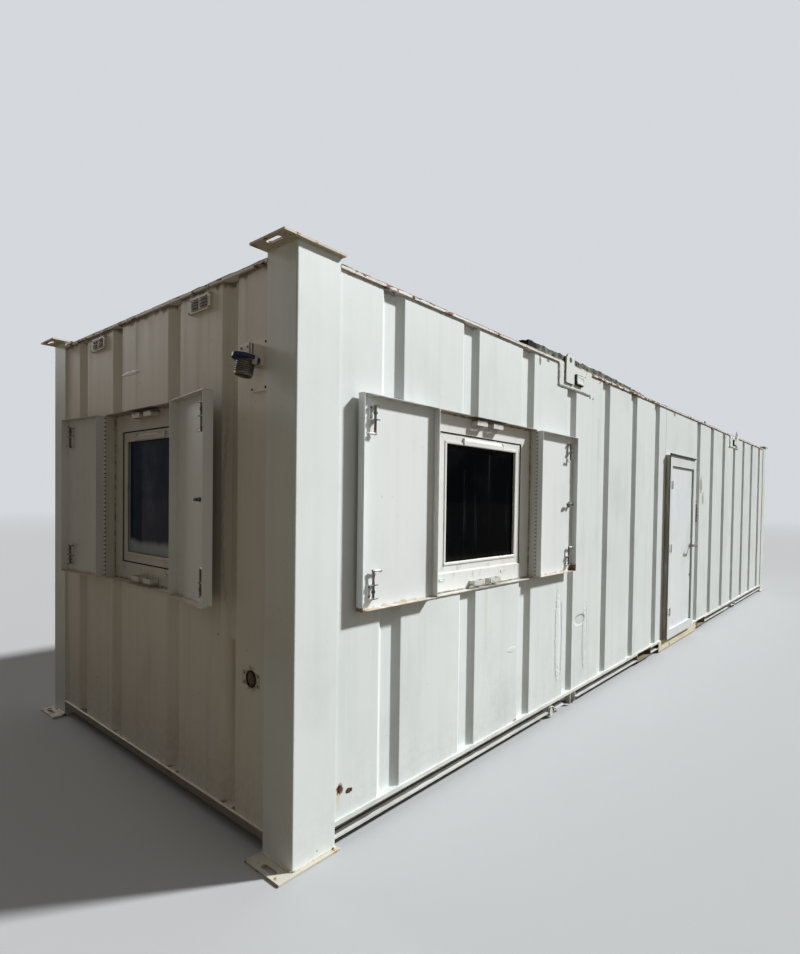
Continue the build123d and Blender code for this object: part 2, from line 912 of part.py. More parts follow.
def main():
    os.makedirs("parts", exist_ok=True)
    nodes = {
        "foot_plates": make_corner_plates(0),
        "top_plates": make_corner_plates(post_top),
        "base_rail_front": make_long_rail("front"),
        "base_rail_back": make_long_rail("back"),
        "base_rails_ends": make_end_rails(),
        "fork_pockets": make_fork_pockets(),
        "floor_joists": make_floor_joists(),
        "floor_deck": make_floor(),
        "top_rails": make_top_rails(),
        "roof_sheet": make_roof_sheet(),
        "roof_joists": make_roof_joists(),
        "ceiling": make_ceiling(),
        "door_frame": make_door_frame(),
        "door_leaf": make_door_leaf(),
        "rail_cover_plate": make_cover_plate(),
        "wall_vents": make_vents(),
        "lifting_lugs_front": make_lugs("front"),
        "lifting_lugs_back": make_lugs("back"),
        "front_window_surround": make_surround("front", front_window_centre),
        "front_window_frame": make_window_frame("front", front_window_centre),
        "front_window_glass": make_glass("front", front_window_centre),
        "end_window_surround": make_surround("near_end", end_window_centre),
        "end_window_frame": make_window_frame("near_end", end_window_centre),
        "end_window_glass": make_glass("near_end", end_window_centre),
        "front_shutter_left": make_shutter("front", front_window_centre, -1, 0, False),
        "front_shutter_right": make_shutter("front", front_window_centre, 1, 0, True),
        "end_shutter_left": make_shutter("near_end", end_window_centre, -1, end_far_shutter_lean, False),
        "end_shutter_right": make_shutter("near_end", end_window_centre, 1, end_shutter_lean, True),
    }
    posts = make_corner_posts()
    for name, post in zip(("front_left", "front_right", "back_left", "back_right"), posts):
        nodes[f"corner_post_{name}"] = post
    nodes.update(wall_panels())
    nodes["door_handle"] = make_door_handle()
    nodes["inlet_housing"], nodes["inlet_socket"] = make_inlet()
    for name, shapes in nodes.items():
        write(name, shapes)


main()
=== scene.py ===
from math import pi, radians

import bmesh
import bpy
from mathutils import Matrix, Vector


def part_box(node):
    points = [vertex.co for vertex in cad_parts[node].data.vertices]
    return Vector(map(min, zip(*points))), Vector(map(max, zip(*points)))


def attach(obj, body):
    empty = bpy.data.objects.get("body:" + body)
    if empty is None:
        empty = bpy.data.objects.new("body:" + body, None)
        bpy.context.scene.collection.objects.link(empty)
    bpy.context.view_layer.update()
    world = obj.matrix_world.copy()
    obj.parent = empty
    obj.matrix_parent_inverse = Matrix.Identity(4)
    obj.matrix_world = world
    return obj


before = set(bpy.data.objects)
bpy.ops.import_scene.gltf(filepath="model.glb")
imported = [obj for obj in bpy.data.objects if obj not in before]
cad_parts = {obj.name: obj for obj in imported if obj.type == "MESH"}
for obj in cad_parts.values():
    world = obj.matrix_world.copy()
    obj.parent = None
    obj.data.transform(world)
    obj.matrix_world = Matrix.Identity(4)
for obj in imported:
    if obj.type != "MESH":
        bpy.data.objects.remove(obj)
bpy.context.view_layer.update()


def at(x, y, z):
    return Matrix.Translation((x, y, z))


def turned(degrees, axis="Z"):
    return Matrix.Rotation(radians(degrees), 4, axis)


# Places on the building, in metres. Each side has its own frame:
# x runs right along the face, y runs inward, z runs up.
near_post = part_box("corner_post_front_left")[0]
far_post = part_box("corner_post_back_right")[1]
length = far_post.x - near_post.x
width = far_post.y - near_post.y
front = at(near_post.x, near_post.y, 0)
near_end = at(near_post.x, far_post.y, 0) @ turned(-90)
back = at(far_post.x, far_post.y, 0) @ turned(180)
far_end = at(far_post.x, near_post.y, 0) @ turned(90)
middle_frame = Matrix.Identity(4)
long_sides = ((front, "front"), (back, "back"))
walls = ((front, length), (back, length), (near_end, width), (far_end, width))

crest = 0.010
backing_face = 0.005
wall_top = 2.640
roof_seam = 2.6545
window_sill = 1.070
window_middle = window_sill + 0.519
front_window = 1.332
end_window = 1.493
frame_face = 0.053
sash_face = 0.061
sash_edge = 0.402
glass_edge = 0.342
door_left = 4.433
door_right = 5.313
door_face = -0.048
leaf_face = -0.028
vent_height = 2.575
vent_from_middle = 0.680
vent_column = 0.046
blade_step = 0.015
lug_station = 2.270
hole_x, hole_z = 2.701, 0.768


# Bench tools

def deselect():
    bpy.ops.object.select_all(action="DESELECT")


def hold(piece):
    """Make a piece the only one that operators act on."""
    deselect()
    piece.select_set(True)
    bpy.context.view_layer.objects.active = piece


def open_mesh(piece):
    hold(piece)
    bpy.ops.object.mode_set(mode="EDIT")
    bpy.ops.mesh.select_mode(type="FACE")
    bpy.ops.mesh.select_all(action="DESELECT")


def close_mesh():
    bpy.ops.object.mode_set(mode="OBJECT")


def pick_faces(piece, test):
    """Select the faces whose middle and normal pass the test."""
    bpy.ops.mesh.select_mode(type="FACE")
    mesh = bmesh.from_edit_mesh(piece.data)
    for face in mesh.faces:
        face.select_set(bool(test(face.calc_center_median(), face.normal)))
    bmesh.update_edit_mesh(piece.data)


def pick_edges(piece, test):
    """Select the edges whose middle and direction pass the test."""
    bpy.ops.mesh.select_mode(type="EDGE")
    mesh = bmesh.from_edit_mesh(piece.data)
    for edge in mesh.edges:
        edge.select_set(False)
    for edge in mesh.edges:
        a, b = edge.verts[0].co, edge.verts[1].co
        if test((a + b) / 2, (b - a).normalized()):
            edge.select_set(True)
    bmesh.update_edit_mesh(piece.data)


# Which faces or edges to pick, by their middle and by their normal or direction

def outward(middle, way):
    return way.y < -0.9


def upward(middle, way):
    return way.z > 0.9


def upright(middle, way):
    return abs(way.z) > 0.9


def sideways(middle, way):
    return abs(way.x) > 0.9


# Pieces

def freeze(piece):
    """Put a piece's place, turn and size into its mesh."""
    hold(piece)
    bpy.ops.object.transform_apply(location=True, rotation=True, scale=True)
    return piece


def fresh(name):
    """Name the piece that an operator has just made."""
    piece = bpy.context.object
    piece.name = name
    return piece


def block(name, low, high):
    """Rough block between two corners."""
    deselect()
    middle = [(a + b) / 2 for a, b in zip(low, high)]
    bpy.ops.mesh.primitive_cube_add(size=1, location=middle)
    piece = fresh(name)
    piece.scale = [b - a for a, b in zip(low, high)]
    return freeze(piece)


def round_bar(name, start, end, radius, sides=16):
    """Rough round bar between two points."""
    deselect()
    run = Vector(end) - Vector(start)
    bpy.ops.mesh.primitive_cylinder_add(
        vertices=sides, radius=radius, depth=run.length,
        location=(Vector(start) + Vector(end)) / 2,
        rotation=run.to_track_quat("Z", "Y").to_euler())
    return freeze(fresh(name))


def stud(name, foot, height, radius, sides=16):
    """Round bar that stands out from a face, toward -y."""
    x, y, z = foot
    return round_bar(name, foot, (x, y - height, z), radius, sides)


def apply_all(piece):
    hold(piece)
    for modifier in list(piece.modifiers):
        bpy.ops.object.modifier_apply(modifier=modifier.name)
    return piece


def smooth(piece, angle=40):
    """Shade a piece smooth but for edges sharper than the angle."""
    hold(piece)
    bpy.ops.object.shade_smooth_by_angle(angle=radians(angle))
    return piece


def soften(piece, edge, steps=2, angle=35):
    """Round every sharp edge a little and shade the piece smooth."""
    bevel = piece.modifiers.new("soft_edges", "BEVEL")
    bevel.width = edge
    bevel.segments = steps
    bevel.limit_method = "ANGLE"
    bevel.angle_limit = radians(angle)
    return smooth(apply_all(piece))


def face_out(piece):
    """Merge doubled points and turn every face outward."""
    open_mesh(piece)
    bpy.ops.mesh.select_all(action="SELECT")
    bpy.ops.mesh.remove_doubles(threshold=0.00001)
    bpy.ops.mesh.normals_make_consistent(inside=False)
    close_mesh()
    return piece


def press(piece, test, *steps):
    """Inset the faces that pass the test, one (margin, rise) after another."""
    open_mesh(piece)
    pick_faces(piece, test)
    for margin, rise in steps:
        bpy.ops.mesh.inset(thickness=margin, depth=rise)
    close_mesh()
    return piece


def sink(piece, test, margin, depth):
    """Inset the faces that pass the test and push them in (or out, if depth is negative)."""
    return press(piece, test, (margin, 0), (margin * 0.12, -depth))


def round_off(piece, test, reach, steps=3):
    """Round the edges that pass the test."""
    open_mesh(piece)
    pick_edges(piece, test)
    bpy.ops.mesh.bevel(offset=reach, segments=steps, affect="EDGES")
    close_mesh()
    return piece


def thicken(piece, depth, offset):
    """Give an open skin its depth."""
    solid = piece.modifiers.new("depth", "SOLIDIFY")
    solid.thickness = depth
    solid.offset = offset
    return face_out(apply_all(piece))


def ring_from(piece, border, depth):
    """Turn one flat face into a ring, border wide and depth thick."""
    open_mesh(piece)
    bpy.ops.mesh.select_all(action="SELECT")
    bpy.ops.mesh.inset(thickness=border, depth=0)
    bpy.ops.mesh.delete(type="FACE")
    close_mesh()
    return thicken(piece, depth, -1)


def window_ring(name, x, z, border, y, depth, edge):
    """Rectangular ring about x = 0, from y inward by depth, with its four sides border wide."""
    deselect()
    bpy.ops.mesh.primitive_plane_add(
        size=1, location=(0, y, (z[0] + z[1]) / 2), rotation=(pi / 2, 0, 0))
    piece = fresh(name)
    piece.scale = (2 * x, z[1] - z[0], 1)
    ring = ring_from(freeze(piece), border, depth)
    return soften(ring, edge) if edge else ring


def disc_ring(name, x, z, y, radius, border, depth, sides=28):
    """Flat round ring on a face, facing -y."""
    deselect()
    bpy.ops.mesh.primitive_circle_add(
        vertices=sides, radius=radius, fill_type="NGON", location=(x, y, z), rotation=(pi / 2, 0, 0))
    return soften(ring_from(freeze(fresh(name)), border, depth), min(border, depth) * 0.3)


def join(pieces, name):
    """Make one piece of several, under a new name."""
    deselect()
    for piece in pieces:
        piece.select_set(True)
    bpy.context.view_layer.objects.active = pieces[0]
    if len(pieces) > 1:
        bpy.ops.object.join()
    pieces[0].name = name
    return pieces[0]


def twin(piece, place):
    """A copy with its own mesh, moved by a matrix."""
    copy = piece.copy()
    copy.data = piece.data.copy()
    bpy.context.scene.collection.objects.link(copy)
    copy.matrix_world = place @ piece.matrix_world
    freeze(copy)
    if place.determinant() < 0:
        face_out(copy)
    return copy


def scatter(pattern, places, name):
    """Copies of a pattern at every place, joined into one piece; the pattern goes."""
    piece = join([twin(pattern, place) for place in places], name)
    bpy.data.objects.remove(pattern)
    return piece


def dress(piece, finish, body):
    """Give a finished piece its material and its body."""
    piece.data.materials.clear()
    piece.data.materials.append(finish)
    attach(piece, body)
    return piece


def moved(piece, place):
    """Put a piece that was drawn at the origin to its place."""
    piece.matrix_world = place
    return freeze(piece)


def settle(piece, side, finish, body="cabin"):
    """Move a finished piece to its side of the building and dress it."""
    return dress(moved(piece, side), finishes[finish], body)


def screw_head(radius, height=0.002):
    """Domed screw head on y = 0, facing -y, with a cross recess."""
    head = stud("screw", (0, 0, 0), height, radius)
    return smooth(press(head, outward, (radius * 0.35, height * 0.4), (radius * 0.3, 0),
                        (radius * 0.05, -height * 0.7)))


def hex_bolt(radius, height):
    """Hexagon head on a washer, on y = 0, facing -y."""
    washer = soften(stud("washer", (0, 0, 0), height * 0.25, radius * 1.5, 20), height * 0.08, 1)
    head = stud("head", (0, -height * 0.25, 0), height * 0.75, radius, 6)
    return join([washer, sink(head, outward, radius * 0.15, -height * 0.1)], "bolt")


def bent_rod(name, start, radius, steps):
    """Rod drawn out from a disc by straight runs and turns about a point."""
    deselect()
    first = Vector(steps[0][1]).normalized()
    bpy.ops.mesh.primitive_circle_add(
        vertices=12, radius=radius, fill_type="NGON", location=start,
        rotation=first.to_track_quat("Z", "Y").to_euler())
    piece = freeze(fresh(name))
    open_mesh(piece)
    bpy.ops.mesh.select_all(action="SELECT")
    for step in steps:
        if step[0] == "run":
            bpy.ops.mesh.extrude_region_move(TRANSFORM_OT_translate={"value": step[1]})
        else:
            bpy.ops.mesh.spin(steps=6, angle=step[3], center=step[1], axis=step[2])
    close_mesh()
    return smooth(face_out(piece))


def weld_bead(start, end, radius, seed):
    """Uneven run of weld between two points."""
    bead = round_bar("bead", start, end, radius, 8)
    whole = Vector(end) - Vector(start)
    run = whole.normalized()
    open_mesh(bead)
    pick_edges(bead, lambda m, d: abs(d.dot(run)) > 0.9)
    bpy.ops.mesh.subdivide(number_cuts=min(max(3, int(whole.length / 0.014)), 40))
    bpy.ops.mesh.select_all(action="SELECT")
    bpy.ops.transform.vertex_random(offset=radius * 0.45, uniform=1.0, seed=seed)
    close_mesh()
    hold(bead)
    bpy.ops.object.shade_smooth()
    return bead


# Material tools

class Wire:
    """One shader socket, so that sums on masks can be written as plain expressions."""

    def __init__(self, finish, socket):
        self.finish = finish
        self.socket = socket

    def _sum(self, operation, *values):
        return self.finish.add("ShaderNodeMath", {"operation": operation}, dict(enumerate(values)))

    def __add__(self, other):
        return self._sum("ADD", self, other)

    def __radd__(self, other):
        return self._sum("ADD", other, self)

    def __sub__(self, other):
        return self._sum("SUBTRACT", self, other)

    def __rsub__(self, other):
        return self._sum("SUBTRACT", other, self)

    def __mul__(self, other):
        return self._sum("MULTIPLY", self, other)

    def __rmul__(self, other):
        return self._sum("MULTIPLY", other, self)

    def __truediv__(self, other):
        return self._sum("DIVIDE", self, other)

    def __pow__(self, other):
        return self._sum("POWER", self, other)

    def __abs__(self):
        return self._sum("ABSOLUTE", self)

    def __mod__(self, other):
        return self._sum("FLOORED_MODULO", self, other)

    def most(self, other):
        return self._sum("MAXIMUM", self, other)

    def least(self, other):
        return self._sum("MINIMUM", self, other)


def colour(red, green, blue):
    """A display colour from 0 to 255 as the renderer's linear colour."""
    return tuple(((c / 255 + 0.055) / 1.055) ** 2.4 for c in (red, green, blue)) + (1.0,)


def dim(tint, share):
    """The same colour, darker."""
    return tuple(c * share for c in tint[:3]) + (1,)


class Nodes:
    """A node tree that grows through one method."""

    def __init__(self, tree):
        self.tree = tree

    def add(self, kind, settings, sockets, output=0):
        """Add a node: its settings first, then the values or links of its sockets."""
        node = self.tree.nodes.new(kind)
        for name, value in settings.items():
            setattr(node, name, value)
        for key, value in sockets.items():
            if isinstance(value, Wire):
                self.tree.links.new(value.socket, node.inputs[key])
            else:
                node.inputs[key].default_value = value
        return Wire(self, node.outputs[output])


class Finish(Nodes):
    """One node material, laid out in the object's own coordinates."""

    def __init__(self, name, **fixed):
        self.material = bpy.data.materials.new(name)
        self.material.use_nodes = True
        super().__init__(self.material.node_tree)
        self.shader = self.tree.nodes["Principled BSDF"]
        for socket, value in fixed.items():
            self.shader.inputs[socket.replace("_", " ")].default_value = value
        self.place = self.add("ShaderNodeTexCoord", {}, {}, "Object")
        self.x = self.add("ShaderNodeSeparateXYZ", {}, {0: self.place}, "X")
        self.y = Wire(self, self.x.socket.node.outputs["Y"])
        self.z = Wire(self, self.x.socket.node.outputs["Z"])

    def noise(self, scale, detail=3.0, stretch=(1, 1, 1), shift=(0, 0, 0), rough=0.55):
        spot = self.add("ShaderNodeMapping", {}, {
            "Vector": self.place, "Scale": stretch, "Location": shift})
        return self.add("ShaderNodeTexNoise", {}, {
            "Vector": spot, "Scale": scale, "Detail": detail, "Roughness": rough})

    def rise(self, value, low, high):
        """0 below low, 1 above high, smooth between."""
        return self.add("ShaderNodeMapRange", {"interpolation_type": "SMOOTHSTEP"}, {
            "Value": value, "From Min": low, "From Max": high})

    def fall(self, value, low, high):
        return 1 - self.rise(value, low, high)

    def band(self, value, low, high, soft):
        return self.rise(value, low - soft, low + soft) * self.fall(value, high - soft, high + soft)

    def cloud(self, low, high, *noise):
        """Soft patches, where a noise rises from low to high."""
        return self.rise(self.noise(*noise), low, high)

    def sway(self, amount, *noise):
        """A noise about zero, to make a straight edge ragged."""
        return (self.noise(*noise) - 0.5) * amount

    def mix(self, mask, under, over):
        """Lay one shade over another where the mask is 1."""
        return self.add("ShaderNodeMix", {"data_type": "RGBA"}, {0: mask, 6: under, 7: over}, 2)

    def tone(self, under, over, low, high, *noise):
        """Two shades in soft patches."""
        return self.mix(self.cloud(low, high, *noise), under, over)

    def spot(self, across, centre, height, wide, high, ragged):
        """Ragged oval patch on a wall face."""
        d = ((across - centre) / wide) ** 2 + ((self.z - height) / high) ** 2
        return self.fall(d + self.sway(ragged, 38, 4) * 5, 0.5, 1.15)

    def spots(self, across, *patches):
        """Several ragged patches as one mask."""
        mask = self.spot(across, *patches[0])
        for patch in patches[1:]:
            mask = mask.most(self.spot(across, *patch))
        return mask

    def run(self, across, centre, wide, top, bottom):
        """Stain that runs down a wall face from a place."""
        wander = (self.noise(5, 2, (1, 1, 0.4)) - 0.5) * wide * 1.6
        side = self.fall(abs(across - centre + wander), wide * 0.15, wide)
        fade = self.rise(self.z, bottom, top) * self.fall(self.z, top, top + 0.02)
        return side * fade * (0.45 + self.noise(60, 3, (1, 1, 0.05)))

    def done(self, shade, rough, height=None, depth=0.001):
        """Connect colour, roughness and relief, and give the material back."""
        self.tree.links.new(shade.socket, self.shader.inputs["Base Color"])
        if isinstance(rough, Wire):
            self.tree.links.new(rough.socket, self.shader.inputs["Roughness"])
        else:
            self.shader.inputs["Roughness"].default_value = rough
        if height is not None:
            bump = self.add("ShaderNodeBump", {}, {"Distance": depth, "Height": height})
            self.tree.links.new(bump.socket, self.shader.inputs["Normal"])
        return self.material


even = (1, 1, 1)
rust_dark = colour(58, 34, 22)
rust_mid = colour(112, 66, 38)
rust_pale = colour(170, 122, 82)
grime = colour(118, 108, 90)
soil = colour(96, 84, 66)
algae = colour(132, 138, 104)
white = colour(224, 231, 231)
cool = colour(132, 134, 128)


def rust_shades(f):
    """Rust that goes from dark scale to orange powder."""
    shade = f.tone(rust_dark, rust_mid, 0.35, 0.6, 95, 6)
    return f.tone(shade, rust_pale, 0.52, 0.72, 22, 4)


def painted_steel(name, tint, marks=None, streaks=0.5, chips=0.0, dust=0.5, dents=0.5, dirt=grime):
    """Weathered white paint on sheet steel: rain streaks, dust, chips down to rust, oil-canning."""
    f = Finish(name, Specular_IOR_Level=0.42)
    shade = f.tone(tint, dim(tint, 0.94), 0.3, 0.75, 0.9, 3)
    shade = f.mix(f.cloud(0.46, 0.8, 3.4, 5, (1, 1, 0.6), (3, 1, 7)) * 0.14, shade, dirt)
    rain = f.cloud(0.47, 0.78, 16, 4, (1, 1, 0.035))
    fine = f.cloud(0.5, 0.85, 70, 3, (1, 1, 0.03), (5, 5, 0))
    shade = f.mix((rain * 0.24 + fine * 0.12) * streaks, shade, dirt)
    specks = f.cloud(0.70, 0.76, 44, 2, even, (9, 2, 4)) * f.cloud(0.45, 0.65, 2.6, 2)
    shade = f.mix(specks * 0.35, shade, dirt)
    splash = f.fall(f.z + f.sway(0.35, 7, 4), 0.12, 0.52) * dust
    shade = f.mix(splash * f.cloud(0.25, 0.8, 30, 5) * 0.36, shade, dirt)
    height = f.noise(1.15, 2, (1, 1, 0.55)) * 4 * dents + f.noise(5.5, 3) * 0.35 * dents
    height = height + f.noise(260, 2) * 0.03
    rough = 0.42 + rain * 0.1 + splash * 0.25
    if marks:
        shade, height, rough = marks(f, shade, height, rough)
    if chips:
        bare = f.cloud(0.72 - chips * 0.1, 0.735 - chips * 0.1, 26, 7, even, (2, 8, 5), 0.62)
        shade = f.mix(bare, shade, rust_shades(f))
        height = height - bare * 0.3
        rough = rough + bare * 0.3
    return f.done(shade, rough, height, 0.004)


def front_marks(f, shade, height, rough):
    """What has happened to the long front over the years."""
    x = f.x - near_post.x
    outside = f.fall(f.y, near_post.y + 0.05, near_post.y + 0.06)
    edge = f.rise(f.z + f.sway(0.05, 34, 5, (1, 1, 0.3)), wall_top - 0.016, wall_top - 0.004)
    shade = f.mix(edge * f.band(x, 0.220, length - 0.220, 0.002) * 0.55, shade, colour(132, 122, 108))
    hole = f.spots(x, (0.246, 0.258, 0.022, 0.028, 0.6), (0.298, 0.236, 0.022, 0.012, 0.9))
    below = f.run(x, 0.234, 0.018, 0.250, 0.120).most(f.run(x, 1.318, 0.018, 1.060, 0.400) * 0.5)
    below = below.most(f.run(x, 1.800, 0.016, 1.060, 0.480) * 0.4)
    shade = f.mix((below * outside * 0.7).least(0.6), shade, colour(206, 190, 146))
    nick = f.spot(x, 1.650, 0.116, 0.030, 0.026, 0.8)
    shade = f.mix(nick * outside * 0.8, shade, colour(164, 128, 78))
    dark = f.spots(x, (1.881, 2.591, 0.016, 0.028, 0.8), (1.990, 2.618, 0.020, 0.010, 0.9),
                   (5.640, 1.480, 0.018, 0.130, 1.2), (0.123, 0.041, 0.004, 0.005, 0.6),
                   (4.690, 2.610, 0.040, 0.020, 0.9))
    shade = f.mix(dark * outside * 0.75, shade, colour(70, 62, 52))
    shade = f.mix(hole * outside, shade, f.tone(colour(40, 28, 20), rust_mid, 0.42, 0.6, 70, 4))
    scrape = f.spot(x, 5.735, 1.850, 0.045, 0.110, 0.7) + f.spot(x, 5.830, 1.690, 0.03, 0.09, 0.9)
    shade = f.mix(scrape.least(1.0) * outside * 0.85, shade, colour(142, 146, 112))
    scuff = f.spot(x, 1.500, 0.350, 0.110, 0.150, 1.1) * 0.3 + f.spot(x, 2.655, 0.600, 0.014, 0.210, 0.9)
    scuff = scuff + f.spot(x, 2.540, 0.660, 0.100, 0.050, 0.1) * 0.5
    scuff = scuff + f.run(x, 2.812, 0.022, 2.300, 0.500) * 0.7
    shade = f.mix(scuff.least(1.0) * outside * 0.26, shade, colour(150, 154, 150))
    seam = f.fall(abs(x - 4.425), 0.003, 0.008)
    shade = f.mix(seam * outside * f.rise(f.z, 2.14, 2.16) * 0.5, shade, colour(120, 118, 112))
    warm = f.spot(x, 9.640, 1.700, 0.120, 0.430, 0.5)
    shade = f.mix(warm * 0.25, shade, colour(214, 186, 148))
    crease = f.spot(x, 2.190, 0.600, 0.034, 0.350, 0.3) - f.spot(x, 2.236, 0.560, 0.020, 0.300, 0.3)
    crease = crease + f.spot(x, 1.600, 0.620, 0.050, 0.018, 0.2) * 0.3
    crease = crease - f.spot(x, 2.540, 0.660, 0.095, 0.045, 0.05)
    crease = crease + f.spot(x, 2.620, 0.500, 0.030, 0.260, 0.3)
    return shade, height + crease * outside * 1.4, rough + scuff * 0.1


def end_marks(f, shade, height, rough):
    """The near end stands in shade: dusty, with an old bracket's outline round the service hole."""
    across = far_post.y - f.y
    outside = f.fall(f.x, near_post.x + 0.05, near_post.x + 0.06)
    top_rust = f.rise(f.z + f.sway(0.1, 18, 5, (1, 1, 0.3)), wall_top - 0.030, wall_top - 0.006)
    shade = f.mix(top_rust * 0.7, shade, rust_dark)
    drips = f.run(across, 1.600, 0.05, wall_top, 2.20).most(f.run(across, 0.700, 0.04, wall_top, 2.35))
    shade = f.mix(drips.least(1.0) * 0.3, shade, colour(150, 126, 96))
    old = f.band(across, 2.626, 2.770, 0.004) * f.band(f.z, 0.734, 0.798, 0.004)
    inner = f.band(across, 2.631, 2.765, 0.002) * f.band(f.z, 0.739, 0.793, 0.002)
    shade = f.mix(old * 0.35 * outside, shade, colour(188, 184, 170))
    shade = f.mix((old - inner).most(0.0) * outside * 0.7, shade, grime)
    around = f.spot(across, hole_x, hole_z, 0.060, 0.060, 0.5)
    shade = f.mix(around * outside * 0.4, shade, rust_mid)
    foot = f.run(across, 2.480, 0.04, 0.900, 0.20) * 0.5
    shade = f.mix(foot * outside, shade, colour(166, 142, 100))
    crease = f.spot(across, 1.340, 2.330, 0.130, 0.012, 0.1) + f.spot(across, 2.450, 1.500, 0.03, 0.5, 0.2)
    return shade, height + crease * outside * 1.2, rough + 0.05


def shutter_marks(f, shade, height, rough):
    """Rust that creeps in from the rims of the trays."""
    lip = f.rise(f.z + f.sway(0.04, 20, 5), 2.090, 2.098)
    foot = f.fall(f.z + f.sway(0.05, 24, 5), 1.080, 1.094)
    shade = f.mix(lip * 0.3, shade, colour(150, 128, 98))
    shade = f.mix(foot * 0.6, shade, colour(176, 146, 98))
    corner = f.spots(f.x - near_post.x, (2.345, 1.095, 0.050, 0.040, 0.6), (0.318, 1.088, 0.030, 0.012, 0.6))
    return f.mix(corner * 0.85, shade, rust_shades(f)), height, rough


def door_marks(f, shade, height, rough):
    """Hand grime by the handle and a scuffed foot on the door leaf."""
    hands = f.spot(f.x - near_post.x, 5.175, 1.150, 0.13, 0.22, 0.5)
    shade = f.mix(hands * 0.12, shade, grime)
    kicks = f.cloud(0.62, 0.7, 42, 3, (1, 1, 0.3)) * f.fall(f.z, 0.25, 0.62)
    return f.mix(kicks * 0.3, shade, colour(120, 116, 104)), height, rough


def frame_side_shade(f, shade, height, rough):
    """Painted shade on the hinge side of the door frame: its face toward -x made darker, with a black painted
    shadow along its outer edge.
    """
    side = f.fall(f.x - near_post.x, door_left + 0.001, door_left + 0.005)
    # painted shade: darker tones on the frame's side face, which lies out of the sun
    worn = f.tone(colour(176, 172, 160), colour(132, 126, 112), 0.35, 0.65, 12, 5, (1, 1, 0.2))
    # painted shadow: a black line along the outer edge of the side face
    edge = f.fall(f.y - near_post.y + f.sway(0.02, 18, 4, (1, 1, 0.3)), door_face + 0.010, door_face + 0.018)
    worn = f.mix(edge * 0.85, worn, colour(48, 44, 38))
    return f.mix(side * 0.9, shade, worn), height, rough + side * 0.2


def windows(f):
    """The way along each wall that has a window, and the window's middle on it."""
    return (f.x, near_post.x + front_window), (f.y, far_post.y - end_window)


def surround_marks(f, shade, height, rough):
    """Rust along the head and the sill of the window openings, and dark round the keeps: painted shade in the
    gaps behind them, with black grime.
    """
    up = abs(f.z - window_middle) + f.sway(0.03, 30, 6, even, (1, 4, 2))
    head = f.rise(f.z, window_sill + 0.5, window_sill + 0.52)
    rusted = f.rise(up, 0.500, 0.518) * head + f.rise(up, 0.514, 0.522) * (1 - head)
    # painted shade with grime: dark on the surround round the keeps, strongest under the head
    keep_shade = []
    for across, middle in windows(f):
        keep_shade.append(f.band(across, middle - 0.17, middle + 0.17, 0.02) * f.rise(up, 0.484, 0.500))
    shade = f.mix(rusted * 0.6, shade, colour(124, 96, 66))
    shade = f.mix(keep_shade[0].most(keep_shade[1]) * (0.35 + head * 0.45), shade, colour(52, 40, 30))
    return shade, height, rough + rusted * 0.2


def rusty_plate(name, cover, tint):
    """Thick plate whose paint has mostly gone: cover is how much paint is left."""
    f = Finish(name, Specular_IOR_Level=0.35)
    loss = f.noise(13, 7, even, (1, 5, 3), 0.6)
    painted = f.fall(loss, cover - 0.015, cover + 0.02)
    bloom = f.fall(loss, cover - 0.05, cover)
    stained = f.mix(bloom, colour(196, 168, 118), f.tone(tint, dim(tint, 0.86), 0.35, 0.7, 5, 4))
    shade = f.mix(painted, rust_shades(f), stained)
    height = painted * 0.35 + f.noise(60, 6) * 0.5 * (1 - painted) + f.noise(9, 4) * 0.6
    return f.done(shade, 0.78 - painted * 0.25, height, 0.003)


def roof_finish():
    """Grey-white roof sheet with ponding stains, leaf dirt, algae and rust at its ribs."""
    f = Finish("roof_paint", Specular_IOR_Level=0.35)
    shade = f.tone(colour(186, 186, 178), colour(160, 158, 148), 0.3, 0.7, 1.1, 4)
    pool = (1.7, 6, even, (4, 4, 0))
    pond = f.cloud(0.5, 0.62, *pool)
    shade = f.mix(pond * 0.45, shade, colour(120, 114, 98))
    shade = f.mix(f.band(f.noise(*pool), 0.5, 0.52, 0.008) * 0.4, shade, colour(84, 80, 66))
    shade = f.mix(f.cloud(0.58, 0.72, 7, 6) * 0.5, shade, algae)
    rim = f.rise(abs(f.y) + f.sway(0.12, 16, 5), 1.43, 1.52)
    shade = f.mix(rim * 0.7, shade, rust_shades(f))
    shade = f.mix(f.cloud(0.66, 0.7, 120, 3) * 0.5, shade, colour(70, 64, 52))
    height = f.noise(2.2, 3) * 2 + f.noise(90, 3) * 0.15
    return f.done(shade, 0.6 + pond * 0.15, height, 0.003)


def top_rail_finish():
    """Edge rail at the roof: white flaking off along an edge gone pink and brown."""
    f = Finish("top_rail_paint", Specular_IOR_Level=0.35)
    flake = f.noise(17, 7, (0.8, 0.8, 1.4), (6, 3, 2), 0.62)
    torn = f.band(f.x - near_post.x, 2.35, 4.40, 0.25) * 0.07
    gone = f.rise(flake + torn, 0.56, 0.585)
    shade = f.tone(colour(226, 226, 222), colour(214, 206, 200), 0.4, 0.7, 4, 3)
    rusty = f.mix(f.cloud(0.45, 0.6, 33, 4) * 0.6, rust_shades(f), colour(164, 128, 116))
    height = (1 - gone) * 0.4 + f.noise(70, 5) * 0.4
    return f.done(f.mix(gone, shade, rusty), 0.5 + gone * 0.3, height, 0.003)


